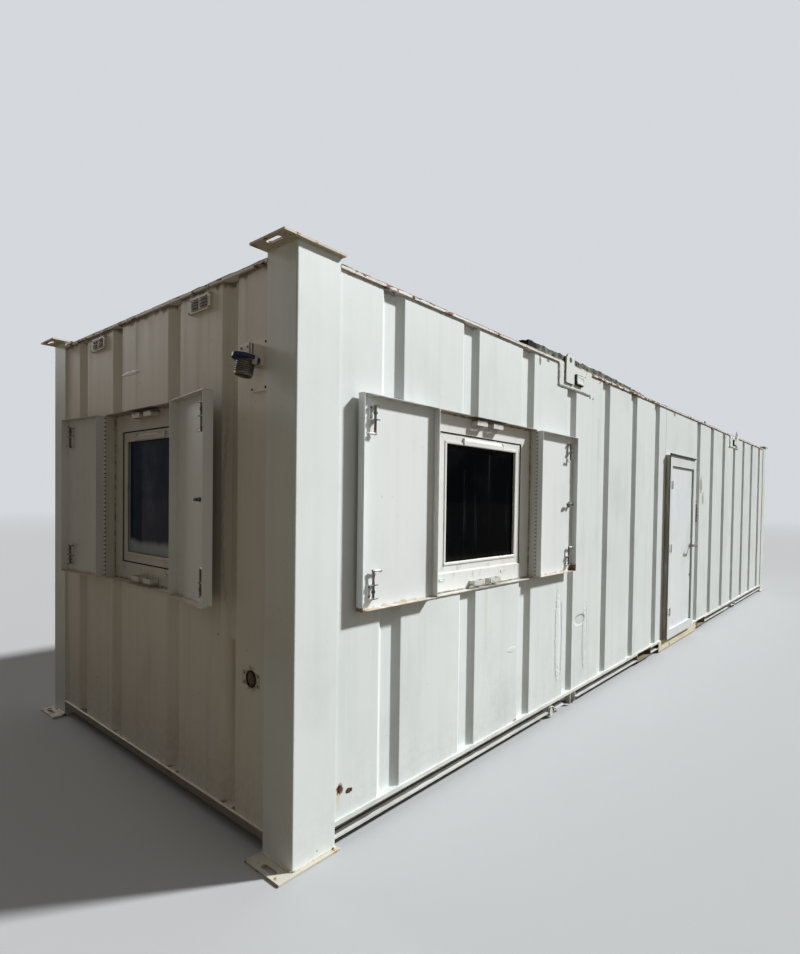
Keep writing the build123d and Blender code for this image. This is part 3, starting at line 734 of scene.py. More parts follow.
def underframe_finish(name, tint, mud, sound=0.52):
    """Rails and joists under the floor: paint under splashed mud and rust."""
    f = Finish(name, Specular_IOR_Level=0.35)
    shade = f.tone(tint, dim(tint, 0.8), 0.35, 0.7, 4.5, 4)
    rusted = f.cloud(sound, sound + 0.04, 9, 7, (0.7, 0.7, 1.3), (2, 2, 8), 0.62)
    shade = f.mix(rusted * 0.85, shade, rust_shades(f))
    low = f.fall(f.z + f.sway(0.08, 15, 4), 0.02, 0.11)
    shade = f.mix((low * mud + f.cloud(0.55, 0.7, 28, 5) * mud * 0.5).least(0.85), shade, soil)
    return f.done(shade, 0.62 + rusted * 0.2, f.noise(48, 6) * 0.6 + rusted * 0.2, 0.002)


def plastic_finish(name, tint, faded):
    """Moulded white window plastic, dulled, with welded mitres and grime in its corners."""
    f = Finish(name, Specular_IOR_Level=0.5)
    shade = f.tone(tint, faded, 0.35, 0.7, 2.2, 3)
    dirt = f.cloud(0.55, 0.8, 24, 5, (1, 1, 0.5))
    low = f.fall(f.z, window_sill + 0.02, window_sill + 0.26)
    shade = f.mix(dirt * 0.14 + low * dirt * 0.35, shade, grime)
    sides = []
    for across, middle in windows(f):
        away = abs(across - middle)
        mitre = f.fall(abs(away - abs(f.z - window_middle)), 0.0008, 0.0022)
        sides.append(mitre * f.rise(away, glass_edge - 0.01, glass_edge) * f.fall(away, 0.51, 0.52))
    seam = sides[0].most(sides[1])
    shade = f.mix(seam * 0.4, shade, colour(120, 116, 106))
    return f.done(shade, 0.3 + dirt * 0.12, f.noise(300, 2) * 0.2 - seam, 0.0004)


def glass_finish(name, deep, streaked, reflected_foot):
    """Dark glazing, dusty, with faint streaks from old cleaning; its dark shade is painted shade of the unlit
    room behind, and on the end window it carries a painted blue sky reflection with a pale painted reflection
    low in the pane.
    """
    f = Finish(name, Specular_IOR_Level=0.06, IOR=1.45, Alpha=0.97)
    streak = f.cloud(0.60, 0.80, 30, 3, (1, 1, 0.05))
    haze = f.cloud(0.5, 0.8, 3, 4)
    rim = f.rise(abs(f.z - window_middle) + f.sway(0.05, 12, 3), 0.30, 0.35)
    # painted reflection: a pale band low in the pane, used on the end window only
    low = f.fall(f.z + f.sway(0.08, 4, 3), 1.30, 1.35)
    shade = f.mix(streak * 0.4 + haze * 0.15 + low * reflected_foot, deep, streaked)
    shade = f.mix(rim * 0.08, shade, colour(96, 92, 80))
    return f.done(shade, 0.05 + haze * 0.06 + rim * 0.2)


def rubber_finish(name, painted=False):
    """Black rubber; on the front window it is made pale as painted light on its left and bottom, where the
    sun falls, and stays black under the head and on the right side, which lie in shade.
    """
    f = Finish(name, Specular_IOR_Level=0.3)
    shade = f.tone(colour(22, 22, 22), colour(62, 58, 50), 0.4, 0.75, 40, 4)
    if painted:
        # painted light and shade: black under the head and on the right, pale elsewhere
        bare = f.rise(f.z, window_sill + 0.90, window_sill + 0.91).most(
            f.rise(f.x - near_post.x, front_window + 0.38, front_window + 0.39))
        shade = f.mix(bare, colour(240, 240, 234), shade)
    return f.done(shade, 0.75, f.noise(160, 3), 0.0006)


def cast_metal(name, tint, dark, worn=0.6, rusted=0.55):
    """Aged bare fittings: zinc gone dull, with rust in the low places."""
    f = Finish(name, Metallic=0.65)
    shade = f.tone(tint, dark, 0.35, 0.7, 26, 5)
    spots = f.cloud(rusted, rusted + 0.08, 58, 6, even, (3, 3, 3))
    return f.done(f.mix(spots * worn, shade, rust_mid), 0.4 + spots * 0.35, f.noise(140, 4), 0.0006)


def moulded_plastic(name, tint, faded, slotted=False, ringed=False):
    """Hard moulded plastic, chalked by the sun. A slotted vent has painted shade in the slots between its
    blades;
    a ringed power socket has its colour above a dark ribbed shroud."""
    f = Finish(name, Specular_IOR_Level=0.45)
    shade = f.tone(tint, faded, 0.4, 0.75, 14, 4)
    if ringed:
        shroud = f.tone(colour(150, 146, 138), colour(112, 108, 100), 0.35, 0.7, 30, 4)
        shroud = f.mix(f.rise((f.z * 110) % 1.0, 0.62, 0.78) * 0.7, shroud, colour(48, 46, 42))
        shade = f.mix(f.rise(f.z, 2.206, 2.209), shroud, shade)
    dusty = f.cloud(0.6, 0.8, 65, 4)
    shade = f.mix(dusty * 0.3, shade, grime)
    if slotted:
        # painted shade in the slots between the vent's blades
        rows = f.band((f.z - (vent_height - 2 * blade_step)) % blade_step, 0.0068, 0.0142, 0.0006)
        from_middle = abs(f.y - far_post.y + width / 2)
        columns = f.fall(abs(abs(from_middle - vent_from_middle) - vent_column), 0.037, 0.038)
        slot_shade = rows * columns * f.fall(abs(f.z - vent_height), 0.029, 0.030)
        shade = f.mix(slot_shade * 0.92, shade, colour(20, 18, 16))
    return f.done(shade, 0.45 + dusty * 0.2, f.noise(220, 3), 0.0005)


def board_finish(name, tint, dark, board=1.22):
    """Sheet boards side by side along x, with joints, grain and a worn surface."""
    f = Finish(name, Specular_IOR_Level=0.4)
    grain = f.noise(60, 5, (0.08, 1, 1))
    shade = f.mix(f.rise(grain, 0.35, 0.7), tint, dark)
    shade = f.mix(f.cloud(0.45, 0.75, 1.6, 4) * 0.35, shade, grime)
    joint = f.fall(abs(f.x % board - board / 2), 0.002, 0.005)
    shade = f.mix(joint * 0.8, shade, colour(60, 52, 42))
    return f.done(shade, 0.55, grain * 0.3 - joint, 0.001)


def felt_finish():
    """Old roofing felt: grey-green grit with moss and black tears."""
    f = Finish("roofing_felt", Specular_IOR_Level=0.25)
    shade = f.tone(colour(66, 68, 62), colour(126, 130, 120), 0.35, 0.65, 24, 6)
    shade = f.tone(shade, colour(22, 22, 20), 0.56, 0.64, 40, 5, even, (3, 1, 2))
    shade = f.mix(f.cloud(0.6, 0.7, 13, 5, even, (7, 2, 1)) * 0.5, shade, colour(116, 122, 84))
    end = f.fall(f.x - near_post.x, 1.83, 1.87)
    return f.done(f.mix(end, shade, colour(18, 18, 18)), 0.85, f.noise(90, 5), 0.004)


def seal_finish():
    """Grey mastic gone brown at the edges."""
    f = Finish("mastic", Specular_IOR_Level=0.3)
    shade = f.tone(colour(188, 184, 174), colour(132, 120, 102), 0.42, 0.62, 30, 5)
    return f.done(shade, 0.7, f.noise(120, 4), 0.001)


blues = (colour(34, 44, 92), colour(52, 62, 104))
finishes = {
    "front": painted_steel("front_paint", white, front_marks, 0.45, 0, 0.35, 0.55, cool),
    "end": painted_steel("end_paint", colour(226, 223, 214), end_marks, 0.6, 0.05, 0.6),
    "plain": painted_steel("wall_paint", white, None, 0.7, 0.2, 0.7),
    "post": painted_steel("post_paint", colour(224, 231, 230), front_marks, 0.25, 0, 0.2, 0.15, cool),
    "shutter": painted_steel("shutter_paint", colour(226, 231, 231), shutter_marks, 0.3, 0, 0, 0.2, cool),
    "door": painted_steel("door_paint", colour(226, 234, 236), door_marks, 0.3, 0, 0.3, 0.2, cool),
    "door_frame": painted_steel("door_frame_paint", colour(222, 229, 229), frame_side_shade,
                                0.5, 0.15, 0.4, 0.1, cool),
    "surround": painted_steel("surround_paint", colour(214, 214, 208), surround_marks, 0.6, 0.4, 0, 0.1),
    "top_plate": rusty_plate("top_plate_paint", 0.60, colour(204, 196, 182)),
    "foot_plate": rusty_plate("foot_plate_paint", 0.62, colour(208, 205, 192)),
    "lug": painted_steel("lug_paint", colour(224, 229, 227), None, 0.3, 0.5, 0, 0.1, cool),
    "top_rail": top_rail_finish(),
    "roof": roof_finish(),
    "rail": underframe_finish("base_rail_paint", colour(222, 226, 222), 0.12, 0.66),
    "end_rail": underframe_finish("end_rail_paint", colour(146, 141, 131), 0.3, 0.66),
    "pocket": underframe_finish("fork_pocket_paint", colour(168, 160, 144), 0.5, 0.58),
    "joist": underframe_finish("joist_paint", colour(120, 114, 104), 0.5),
    "cover": rusty_plate("cover_plate_paint", 0.64, colour(220, 214, 188)),
    "floor": board_finish("floor_boards", colour(150, 120, 86), colour(112, 86, 60)),
    "ceiling": board_finish("ceiling_boards", colour(216, 214, 206), colour(204, 202, 194)),
    "plastic": plastic_finish("window_plastic", colour(232, 235, 233), colour(222, 223, 219)),
    # darker copy of the window plastic: painted shade for the end window, which stands out of the sun
    "end_plastic": plastic_finish("end_window_plastic", colour(208, 208, 202), colour(194, 192, 184)),
    # front glass: near black as painted shade of the unlit room behind
    "glass": glass_finish("window_glass", colour(1, 3, 6), colour(48, 54, 60), 0.0),
    # end glass: blue painted sky reflection; its pale streaks and haze are partly dust and partly painted
    # reflection, its pale foot painted reflection
    "end_glass": glass_finish("end_window_glass", colour(30, 46, 76), colour(168, 180, 190), 0.9),
    "rubber": rubber_finish("black_rubber"),
    # front window gasket with painted light on its sunlit left and bottom
    "gasket": rubber_finish("gasket_painted_light", True),
    "felt": felt_finish(),
    "zinc": cast_metal("zinc_fittings", colour(150, 150, 144), colour(104, 100, 92)),
    "rusty": cast_metal("rusty_fittings", colour(96, 74, 56), rust_dark, 0.9, 0.45),
    "brass": cast_metal("handle_metal", colour(150, 148, 138), colour(104, 100, 90), 0.3, 0.62),
    "vent": moulded_plastic("vent_plastic", colour(206, 204, 194), colour(184, 180, 168), slotted=True),
    "blue": moulded_plastic("inlet_rim_blue", *blues),
    "socket": moulded_plastic("inlet_blue", *blues, ringed=True),
    "steel": cast_metal("dark_fittings", colour(128, 126, 120), colour(84, 80, 72), 0.8, 0.58),
    "ledge": painted_steel("ledge_paint", colour(226, 222, 212), None, 0.3, 0.1, 0, 0.1),
    # dark grey strip in the rail's mouth: painted shade, with mud and rust
    "silt": underframe_finish("rail_silt", colour(98, 96, 94), 0.3, 0.7),
    "grey_plastic": moulded_plastic("inlet_grey", colour(58, 58, 58), colour(92, 90, 84)),
    "pale_plastic": moulded_plastic("inlet_clip", colour(196, 196, 190), colour(170, 168, 160)),
    "mastic": seal_finish(),
    "end_fitting": painted_steel("inlet_housing_paint", colour(238, 233, 225), None, 0.4, 0.1, 0, 0.1),
}

node_finish = {
    "front": "front_wall_left front_wall_window_bay front_wall_middle front_wall_over_door front_wall_right",
    "post": "corner_post_front_left corner_post_front_right corner_post_back_left corner_post_back_right",
    "end": "near_end_wall_back near_end_wall_window_bay near_end_wall_front",
    "plain": "back_wall far_end_wall",
    "shutter": "front_shutter_left front_shutter_right end_shutter_left end_shutter_right",
    "door": "door_leaf",
    "door_frame": "door_frame",
    "surround": "front_window_surround end_window_surround",
    "top_plate": "top_plates",
    "foot_plate": "foot_plates",
    "lug": "lifting_lugs_front lifting_lugs_back",
    "top_rail": "top_rails",
    "roof": "roof_sheet",
    "rail": "base_rail_front base_rail_back",
    "end_rail": "base_rails_ends",
    "pocket": "fork_pockets",
    "joist": "floor_joists roof_joists",
    "cover": "rail_cover_plate",
    "floor": "floor_deck",
    "ceiling": "ceiling",
    "plastic": "front_window_frame",
    "end_plastic": "end_window_frame",
    "glass": "front_window_glass",
    "end_glass": "end_window_glass",
    "brass": "door_handle",
    "vent": "wall_vents",
    "end_fitting": "inlet_housing",
    "socket": "inlet_socket",
}
for finish_name, nodes in node_finish.items():
    for node in nodes.split():
        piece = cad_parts[node]
        piece.data.materials.clear()
        piece.data.materials.append(finishes[finish_name])


# Windows

def window_trim(side, where, centre):
    """Beads, gaskets, drain caps and vent ends of one moulded window."""
    plastic, gasket = ("plastic", "gasket") if where == "front" else ("end_plastic", "rubber")
    bead = window_ring("glazing_bead", glass_edge + 0.012, (0.160, 0.878), 0.016, 0.055, 0.010, 0)
    round_off(bead, lambda m, d: m.y < 0.0555 and abs(m.x) < glass_edge and 0.17 < m.z < 0.868, 0.007)
    soften(bead, 0.001, 1, 50)
    inner = window_ring("glass_gasket", glass_edge + 0.001, (0.171, 0.867), 0.005, 0.0625, 0.004, 0.001)
    gap = window_ring("sash_gasket", sash_edge + 0.0005, (0.1115, 0.9265), 0.007, 0.0575, 0.0036, 0.0012)
    lip = window_ring("frame_seal", 0.5105, (0.0038, 1.0342), 0.009, 0.047, 0.0065, 0.002)
    cap = sink(block("cap", (-0.022, -0.004, -0.008), (0.022, 0.0005, 0.008)), outward, 0.003, 0.0015)
    caps = scatter(soften(cap, 0.0015), [at(x, frame_face, 0.080) for x in (-0.372, 0.208)], "drain_caps")
    stop = block("stop", (-0.005, -0.0135, 0.864), (0.005, 0.001, 0.909))
    round_off(stop, lambda m, d: m.y < -0.01 and m.z > 0.9, 0.009)
    stops = scatter(soften(stop, 0.001, 1), [at(x, sash_face, 0) for x in (-0.193, 0.193)], "vent_ends")
    for piece, finish in ((bead, plastic), (inner, "rubber"), (gap, gasket),
                          (lip, "mastic"), (caps, plastic), (stops, plastic)):
        piece.name = where + "_" + piece.name
        settle(piece, side @ at(centre, 0, window_sill), finish)


window_trim(front, "front", front_window)
window_trim(near_end, "end", end_window)


# Shutters, drawn about the hinge with the leaf along x and its open side facing -y

leaf_start = 0.005
leaf_end = 0.5075
tray_floor = -0.006
leaf_low = 1.080
leaf_high = 2.098
bolt_across = leaf_end - 0.080
bolt_rod = tray_floor - 0.020
bolt_inset = 0.080
bolt_ends = ((-1, leaf_low + 0.003), (1, leaf_high - 0.003))


def hinge_rings():
    """Dark joints between the knuckles of the long hinge."""
    ring = press(round_bar("ring", (0, 0, -0.0022), (0, 0, 0.0022), 0.0064, 14), upright, (0.0008, 0.0003))
    count = 38
    step = (leaf_high - leaf_low) / count
    return scatter(ring, [at(0, 0, leaf_low + step * (k + 0.5)) for k in range(count)], "rings")


def tray_rivets():
    """Rivets that hold the hinge leaf to the tray floor."""
    rivet = smooth(press(stud("rivet", (0, 0, 0), 0.0025, 0.006, 12), outward, (0.002, 0.001)), 50)
    return scatter(rivet, [at(0.026, tray_floor, leaf_low + 0.06 + 0.1497 * k) for k in range(7)], "rivets")


def on_bolt(name, low, high, radius, sides=16):
    """Round bar on the line of the slide bolts."""
    return round_bar(name, (bolt_across, bolt_rod, low), (bolt_across, bolt_rod, high), radius, sides)


def through_bolt(name, z, start, end, radius, sides, margin):
    """Round bar across a slide bolt, with its two ends raised a little."""
    bar = round_bar(name, (bolt_across + start, bolt_rod, z), (bolt_across + end, bolt_rod, z), radius, sides)
    return sink(bar, sideways, margin, -0.001)


def bolt_fittings(hand):
    """Collars, cross pins and turned handle ends of the two slide bolts."""
    pieces = []
    for end, rim in bolt_ends:
        middle = rim - end * bolt_inset
        for low in (middle - 0.037, middle + 0.0345):
            pieces.append(soften(on_bolt("collar", low, low + 0.0025, 0.0095), 0.0008, 1))
        ring = sink(on_bolt("ring", middle - 0.007, middle + 0.007, 0.0092), upright, 0.001, -0.001)
        pieces.append(soften(ring, 0.0008, 1))
        pieces.append(through_bolt("pin", middle, -0.013, 0.013, 0.0028, 10, 0.0008))
        turn = -hand * end
        tail = rim - end * 0.180
        x = bolt_across + turn * 0.045
        pieces.append(bent_rod("grip", (x, bolt_rod, tail), 0.0064, [
            ("run", (turn * 0.003, 0, 0)),
            ("turn", (x + turn * 0.003, bolt_rod, tail + end * 0.009), (0, 1, 0), -turn * end * pi / 2.6),
            ("run", (turn * 0.001, 0, end * 0.003)),
        ]))
        pieces.append(through_bolt("elbow", tail, -turn * 0.0065, turn * 0.006, 0.0065, 14, 0.002))
        sleeve = on_bolt("sleeve", rim - end * 0.044, tail, 0.0066, 18)
        pieces.append(sink(sleeve, upright, 0.0012, -0.0004))
        for low in (middle - 0.0355, middle + 0.0305):
            rim_plate = block("ear_rim", (bolt_across - 0.0206, tray_floor - 0.0322, low),
                              (bolt_across + 0.0206, tray_floor - 0.0292, low + 0.005))
            pieces.append(soften(rim_plate, 0.001, 1))
    return join(pieces, "bolts")


def bolt_screws():
    """Screws of the slide bolts' plates."""
    places = [at(bolt_across + x, tray_floor - 0.0038, rim - end * bolt_inset + z)
              for end, rim in bolt_ends for x in (-0.0135, 0.0135) for z in (-0.0235, 0.0235)]
    return scatter(screw_head(0.0036), places, "bolt_screws")


def rim_welds(seed):
    """Tacks of weld in the corners of the tray."""
    return join([weld_bead((x, -0.044, z), (x, -0.008, z), 0.0022, seed + int(z * 10))
                 for x in (leaf_start + 0.0045, leaf_end - 0.0045)
                 for z in (leaf_low + 0.0045, leaf_high - 0.0045)], "tacks")


def lever_parts():
    """Collar, washer and turned-up tip of the catch lever."""
    x, z = leaf_end - 0.060, (leaf_low + leaf_high) / 2
    collar = sink(stud("collar", (x, tray_floor, z), 0.004, 0.021, 20), outward, 0.004, -0.001)
    nut = sink(stud("nut", (x, tray_floor - 0.030, z), 0.007, 0.011, 6), outward, 0.002, -0.001)
    grip = block("grip", (x - 0.0735, tray_floor - 0.0385, z - 0.0085),
                 (x - 0.030, tray_floor - 0.0215, z + 0.0085))
    round_off(grip, lambda m, d: m.x < x - 0.072 and abs(d.y) > 0.9, 0.006)
    return join([soften(collar, 0.001, 1), nut, soften(grip, 0.002)], "lever")


left, right = -1, 1
shutter_patterns = [
    ("hinge_joints", hinge_rings(), "rubber", (left, right)),
    ("rivets", tray_rivets(), "shutter", (left, right)),
    ("bolt_fittings_left", bolt_fittings(left), "steel", (left,)),
    ("bolt_fittings_right", bolt_fittings(right), "steel", (right,)),
    ("bolt_screws", bolt_screws(), "rusty", (left, right)),
    ("corner_tacks", rim_welds(3), "shutter", (left, right)),
    ("lever", lever_parts(), "grey_plastic", (right,)),
]
for side, where, centre, hand, lean in (
    (front, "front_shutter_left", front_window, left, 0),
    (front, "front_shutter_right", front_window, right, 0),
    (near_end, "end_shutter_left", end_window, left, 4.5),
    (near_end, "end_shutter_right", end_window, right, 7.5),
):
    place = side @ at(centre + hand * 0.510, -0.0048, 0) @ turned(-hand * lean)
    if hand == left:
        place = place @ Matrix.Scale(-1, 4, (1, 0, 0))
    for key, pattern, finish, hands in shutter_patterns:
        if hand in hands:
            piece = twin(pattern, place)
            piece.name = where + "_" + key
            dress(piece, finishes[finish], where)
for key, pattern, finish, hands in shutter_patterns:
    bpy.data.objects.remove(pattern)


# Door

leaf_left, leaf_right = 4.501, 5.245
hinge_x, hinge_y = 4.496, -0.0543
hinge_heights = (0.425, 1.121, 1.817)
handle_x, handle_z = 5.209, 1.115
groove_step = 0.0073


def door_trim():
    """Stop, rain strip, tread and fixed hinge plates on the frame."""
    stop = window_ring("door_stop", 0.377, (0.220, 2.022), 0.013, 0.019, 0.012, 0)
    stop = moved(stop, at((leaf_left + leaf_right) / 2, 0, 0))
    settle(soften(stop, 0.002), front, "rubber")

    drip = block("door_rain_strip", (door_left + 0.002, door_face - 0.018, 2.138),
                 (door_right - 0.030, door_face + 0.010, 2.156))
    open_mesh(drip)
    pick_edges(drip, lambda m, d: m.z > 2.155 and m.y < door_face - 0.015 and abs(d.x) > 0.9)
    bpy.ops.mesh.bevel(offset=0.014, segments=2, affect="EDGES")
    pick_faces(drip, lambda c, n: n.z < -0.9)
    bpy.ops.mesh.inset(thickness=0.003, depth=0)
    bpy.ops.mesh.inset(thickness=0.0006, depth=-0.009)
    close_mesh()
    settle(soften(drip, 0.001, 1), front, "rubber")

    tread = block("door_tread", (leaf_left - 0.004, -0.0475, 0.2195), (leaf_right + 0.004, 0.088, 0.2235))
    open_mesh(tread)
    pick_edges(tread, lambda m, d: abs(d.y) > 0.9)
    bpy.ops.mesh.subdivide(number_cuts=17)
    close_mesh()
    press(tread, lambda c, n: n.z > 0.9 and int((c.y + 0.05) / groove_step) % 2 == 0, (0.0012, 0.0006))
    settle(tread, front, "door_frame")

    plate = sink(block("plate", (4.452, door_face - 0.003, -0.039), (4.487, door_face, 0.039)),
                 outward, 0.003, -0.0006)
    plates = scatter(soften(plate, 0.0012), [at(0, 0, z) for z in hinge_heights], "door_hinge_plates")
    settle(plates, front, "door_frame")
    places = [at(4.468, door_face - 0.003, z + step) for z in hinge_heights for step in (-0.026, 0, 0.026)]
    settle(scatter(screw_head(0.004), places, "door_hinge_screws"), front, "rusty")


def door_fittings():
    """Hinge caps and joints, lock, rose ring and handle ends on the leaf."""
    cap = press(round_bar("cap", (0, 0, 0), (0, 0, 0.004), 0.0066, 18), upward, (0.002, 0.002))
    places = []
    for z in hinge_heights:
        places += [at(hinge_x, hinge_y, z + 0.040), at(hinge_x, hinge_y, z - 0.040) @ turned(180, "X")]
    caps = scatter(cap, places, "door_hinge_caps")
    joint = press(round_bar("joint", (0, 0, -0.0012), (0, 0, 0.0012), 0.0063, 18), upright, (0.001, 0.0002))
    places = [at(hinge_x, hinge_y, z + step) for z in hinge_heights for step in (-0.013, 0.013)]
    joints = scatter(joint, places, "door_hinge_joints")
    lock = press(stud("door_lock", (5.215, leaf_face, 0.760), 0.004, 0.014, 24), outward,
                 (0.0025, 0.001), (0.005, 0), (0.0006, 0.004), (0.003, 0), (0.0004, -0.003))
    rose = disc_ring("rose", handle_x, handle_z, leaf_face - 0.0115, 0.0272, 0.005, 0.003)
    screws = scatter(screw_head(0.0032, 0.0015),
                     [at(handle_x, leaf_face - 0.010, handle_z + s) for s in (-0.017, 0.017)], "screws")
    settle(caps, front, "door", "door")
    settle(joints, front, "rusty", "door")
    settle(lock, front, "zinc", "door")
    settle(join([rose, screws], "door_rose_trim"), front, "brass", "door")

    y = leaf_face - 0.085
    end = bent_rod("end", (handle_x - 0.112, y, handle_z), 0.0088, [
        ("run", (-0.003, 0, 0)),
        ("turn", (handle_x - 0.115, y + 0.016, handle_z), (0, 0, 1), pi / 2),
        ("run", (0, 0.008, 0)),
        ("run", (0, 0.006, 0)),
    ])
    collar = sink(stud("collar", (handle_x, leaf_face - 0.0115, handle_z), 0.0145, 0.0135, 20),
                  outward, 0.002, -0.001)
    boss = press(stud("boss", (handle_x, y - 0.004, handle_z), 0.0035, 0.0125, 20), outward, (0.004, -0.0008))
    parts = [end, soften(collar, 0.001, 1), soften(boss, 0.001, 1)]
    settle(join(parts, "door_handle_return"), front, "brass", "door_handle")


door_trim()
door_fittings()


# Vents, inlet and service hole on the near end

def end_screws(name, places, radius, height):
    """Rusty screws on the near end."""
    settle(scatter(screw_head(radius, height), places, name), near_end, "rusty")


def vent_blades():
    """Slanted blades and corner screws of the two vents."""
    blade = block("blade", (-0.0395, -0.0062, -0.0045), (0.0395, 0.004, -0.0025))
    open_mesh(blade)
    pick_edges(blade, lambda m, d: m.y > 0.003 and abs(d.x) > 0.9)
    bpy.ops.transform.translate(value=(0, 0, 0.006))
    close_mesh()
    soften(blade, 0.0006, 1)
    middles = (width / 2 - vent_from_middle, width / 2 + vent_from_middle)
    places = [at(middle + column, 0, vent_height + (row - 1.5) * blade_step)
              for middle in middles for column in (-vent_column, vent_column) for row in range(4)]
    settle(scatter(blade, places, "vent_louvres"), near_end, "vent")
    corners = [at(middle + a, -0.002, vent_height + b)
               for middle in middles for a in (-0.106, 0.106) for b in (-0.033, 0.033)]
    end_screws("vent_screws", corners, 0.0042, 0.002)


def inlet_parts():
    """Rim, collar, ribs, pins, lugs and bolts of the power inlet."""
    x, top, tilt, box_depth = 2.751, 2.280, 10, 0.066
    seat = near_end @ at(x, backing_face - box_depth * 0.85, top - 0.090 * 0.62) @ turned(-tilt, "X")
    rim = round_bar("rim", (0, 0, -0.001), (0, 0, -0.019), 0.0545, 40)
    open_mesh(rim)
    pick_faces(rim, upright)
    bpy.ops.mesh.delete(type="FACE")
    close_mesh()
    soften(thicken(rim, 0.0035, 1), 0.001)
    notch = soften(block("notch", (-0.008, -0.061, -0.019), (0.008, -0.055, -0.003)), 0.0018)
    notches = scatter(notch, [turned(a) for a in (10, 100, 190, 280)], "notches")
    ribs = scatter(disc_ring("rib", 0, 0, 0, 0.0385, 0.003, 0.003, 36),
                   [at(0, 0, -0.030 - 0.009 * k) @ turned(90, "X") for k in range(6)], "inlet_ribs")
    lip = disc_ring("inlet_rim_lip", 0, 0, 0, 0.0535, 0.013, 0.0032, 36)
    pin = press(round_bar("pin", (0, 0, -0.022), (0, 0, -0.062), 0.0035, 12),
                lambda c, n: n.z < -0.9, (0.0012, 0.001))
    pins = scatter(pin, [turned(a) @ at(0.015, 0, 0) for a in (90, 210, 330)], "inlet_pins")
    lug = press(block("lug", (-0.066, -0.010, -0.052), (-0.050, 0.010, -0.020)),
                lambda c, n: n.x < -0.9, (0.003, 0.004))
    clip = block("clip", (0.046, -0.007, -0.038), (0.062, 0.008, 0.002))
    round_off(clip, lambda m, d: m.x > 0.059 and abs(d.y) > 0.9, 0.006)
    gaps = [sink(block("gap", (x + 0.0365, outer, 2.232), (x + 0.0382, inner, 2.277)),
                 lambda c, n: n.x > 0.9, 0.0006, 0.0004)
            for outer, inner in ((-0.0585, -0.0555), (-0.0460, -0.0415))]
    for piece, place, finish in (
        (join([rim, notches], "inlet_rim"), seat, "blue"),
        (ribs, seat, "grey_plastic"),
        (lip, seat @ at(0, 0, -0.0192) @ turned(90, "X"), "rubber"),
        (pins, seat, "brass"),
        (soften(lug, 0.002), seat, "grey_plastic"),
        (soften(clip, 0.0015), seat @ turned(12), "pale_plastic"),
        (join(gaps, "inlet_box_gaps"), near_end, "rubber"),
    ):
        settle(piece, place, finish)
    places = [at(x + a, backing_face, z) for a in (-0.056, 0.056) for z in (2.094, 2.296)]
    end_screws("inlet_screws", places, 0.0055, 0.0025)
    places = [at(x + a, backing_face - box_depth, top - 0.02) for a in (-0.026, 0.026)]
    settle(scatter(hex_bolt(0.0045, 0.004), places, "inlet_box_bolts"), near_end, "zinc")


def service_hole():
    """Rubber ring and four screws round the service hole."""
    grommet = disc_ring("service_hole_grommet", hole_x, hole_z, 0.0045, 0.040, 0.0085, 0.006)
    settle(grommet, near_end, "rubber")
    places = [at(x, crest, z) for x in (2.640, 2.757) for z in (0.745, 0.787)]
    end_screws("service_hole_screws", places, 0.004, 0.002)


vent_blades()
inlet_parts()
service_hole()


# Lifting lugs, roof fixings and welds

def lug_details(side, where):
    """Welds, brackets and bolts of the lifting eyes on one long side, with black pieces as painted shadow:
    beads left of and under each eye and a box behind each bracket.
    """
    beads, shadow_pieces, brackets, places = [], [], [], []
    for x, hand in ((lug_station, 1), (length - lug_station, -1)):
        # painted shadow: the bead on the left of each eye is black, the one on its right is white weld
        for step, group in ((-0.060, shadow_pieces), (0.060, beads)):
            group.append(weld_bead((x + step, -0.002, 2.507), (x + step, -0.002, 2.652), 0.0035, int(x * 10)))
        # painted shadow: black bead under each eye
        shadow_pieces.append(weld_bead((x - 0.060, -0.002, 2.505), (x + 0.060, -0.002, 2.505), 0.0035, 5))
        a, b = sorted((x - hand * 0.132, x + hand * 0.370))
        for p, q in (((a, 2.475), (a, wall_top)), ((b, 2.475), (b, wall_top)), ((a, 2.475), (b, 2.475))):
            beads.append(weld_bead((p[0], 0.0055, p[1]), (q[0], 0.0055, q[1]), 0.0055, 9))
        a, b = sorted((x + hand * 0.096, x + hand * 0.210))
        plate = press(block("plate", (a, -0.0245, 2.520), (b, -0.0185, 2.586)), outward,
                      (0.012, 0), (0.0008, -0.002))
        brackets.append(soften(plate, 0.0012))
        # painted shadow: a black box behind the bracket plate, showing on its left, top and bottom
        box = sink(block("box", (a - 0.004, -0.019, 2.511), (b - 0.006, -0.001, 2.592)),
                   upright, 0.004, 0.002)
        shadow_pieces.append(soften(box, 0.0008, 1))
        places += [at(x + hand * s, y, z) for s, y, z in (
            (0.260, 0.0, 2.600), (0.371, crest, 2.458), (0.424, crest, 2.458), (0.545, crest, 2.612))]
    for piece, finish in (
        (join(beads, "lug_welds_" + where), "lug"),
        # black rubber finish for the painted shadows
        (join(shadow_pieces, "lug_gaps_" + where), "rubber"),
        (join(brackets, "lug_brackets_" + where), "lug"),
        (scatter(hex_bolt(0.005, 0.004), places, "lug_bolts_" + where), "rusty"),
    ):
        settle(piece, side, finish)


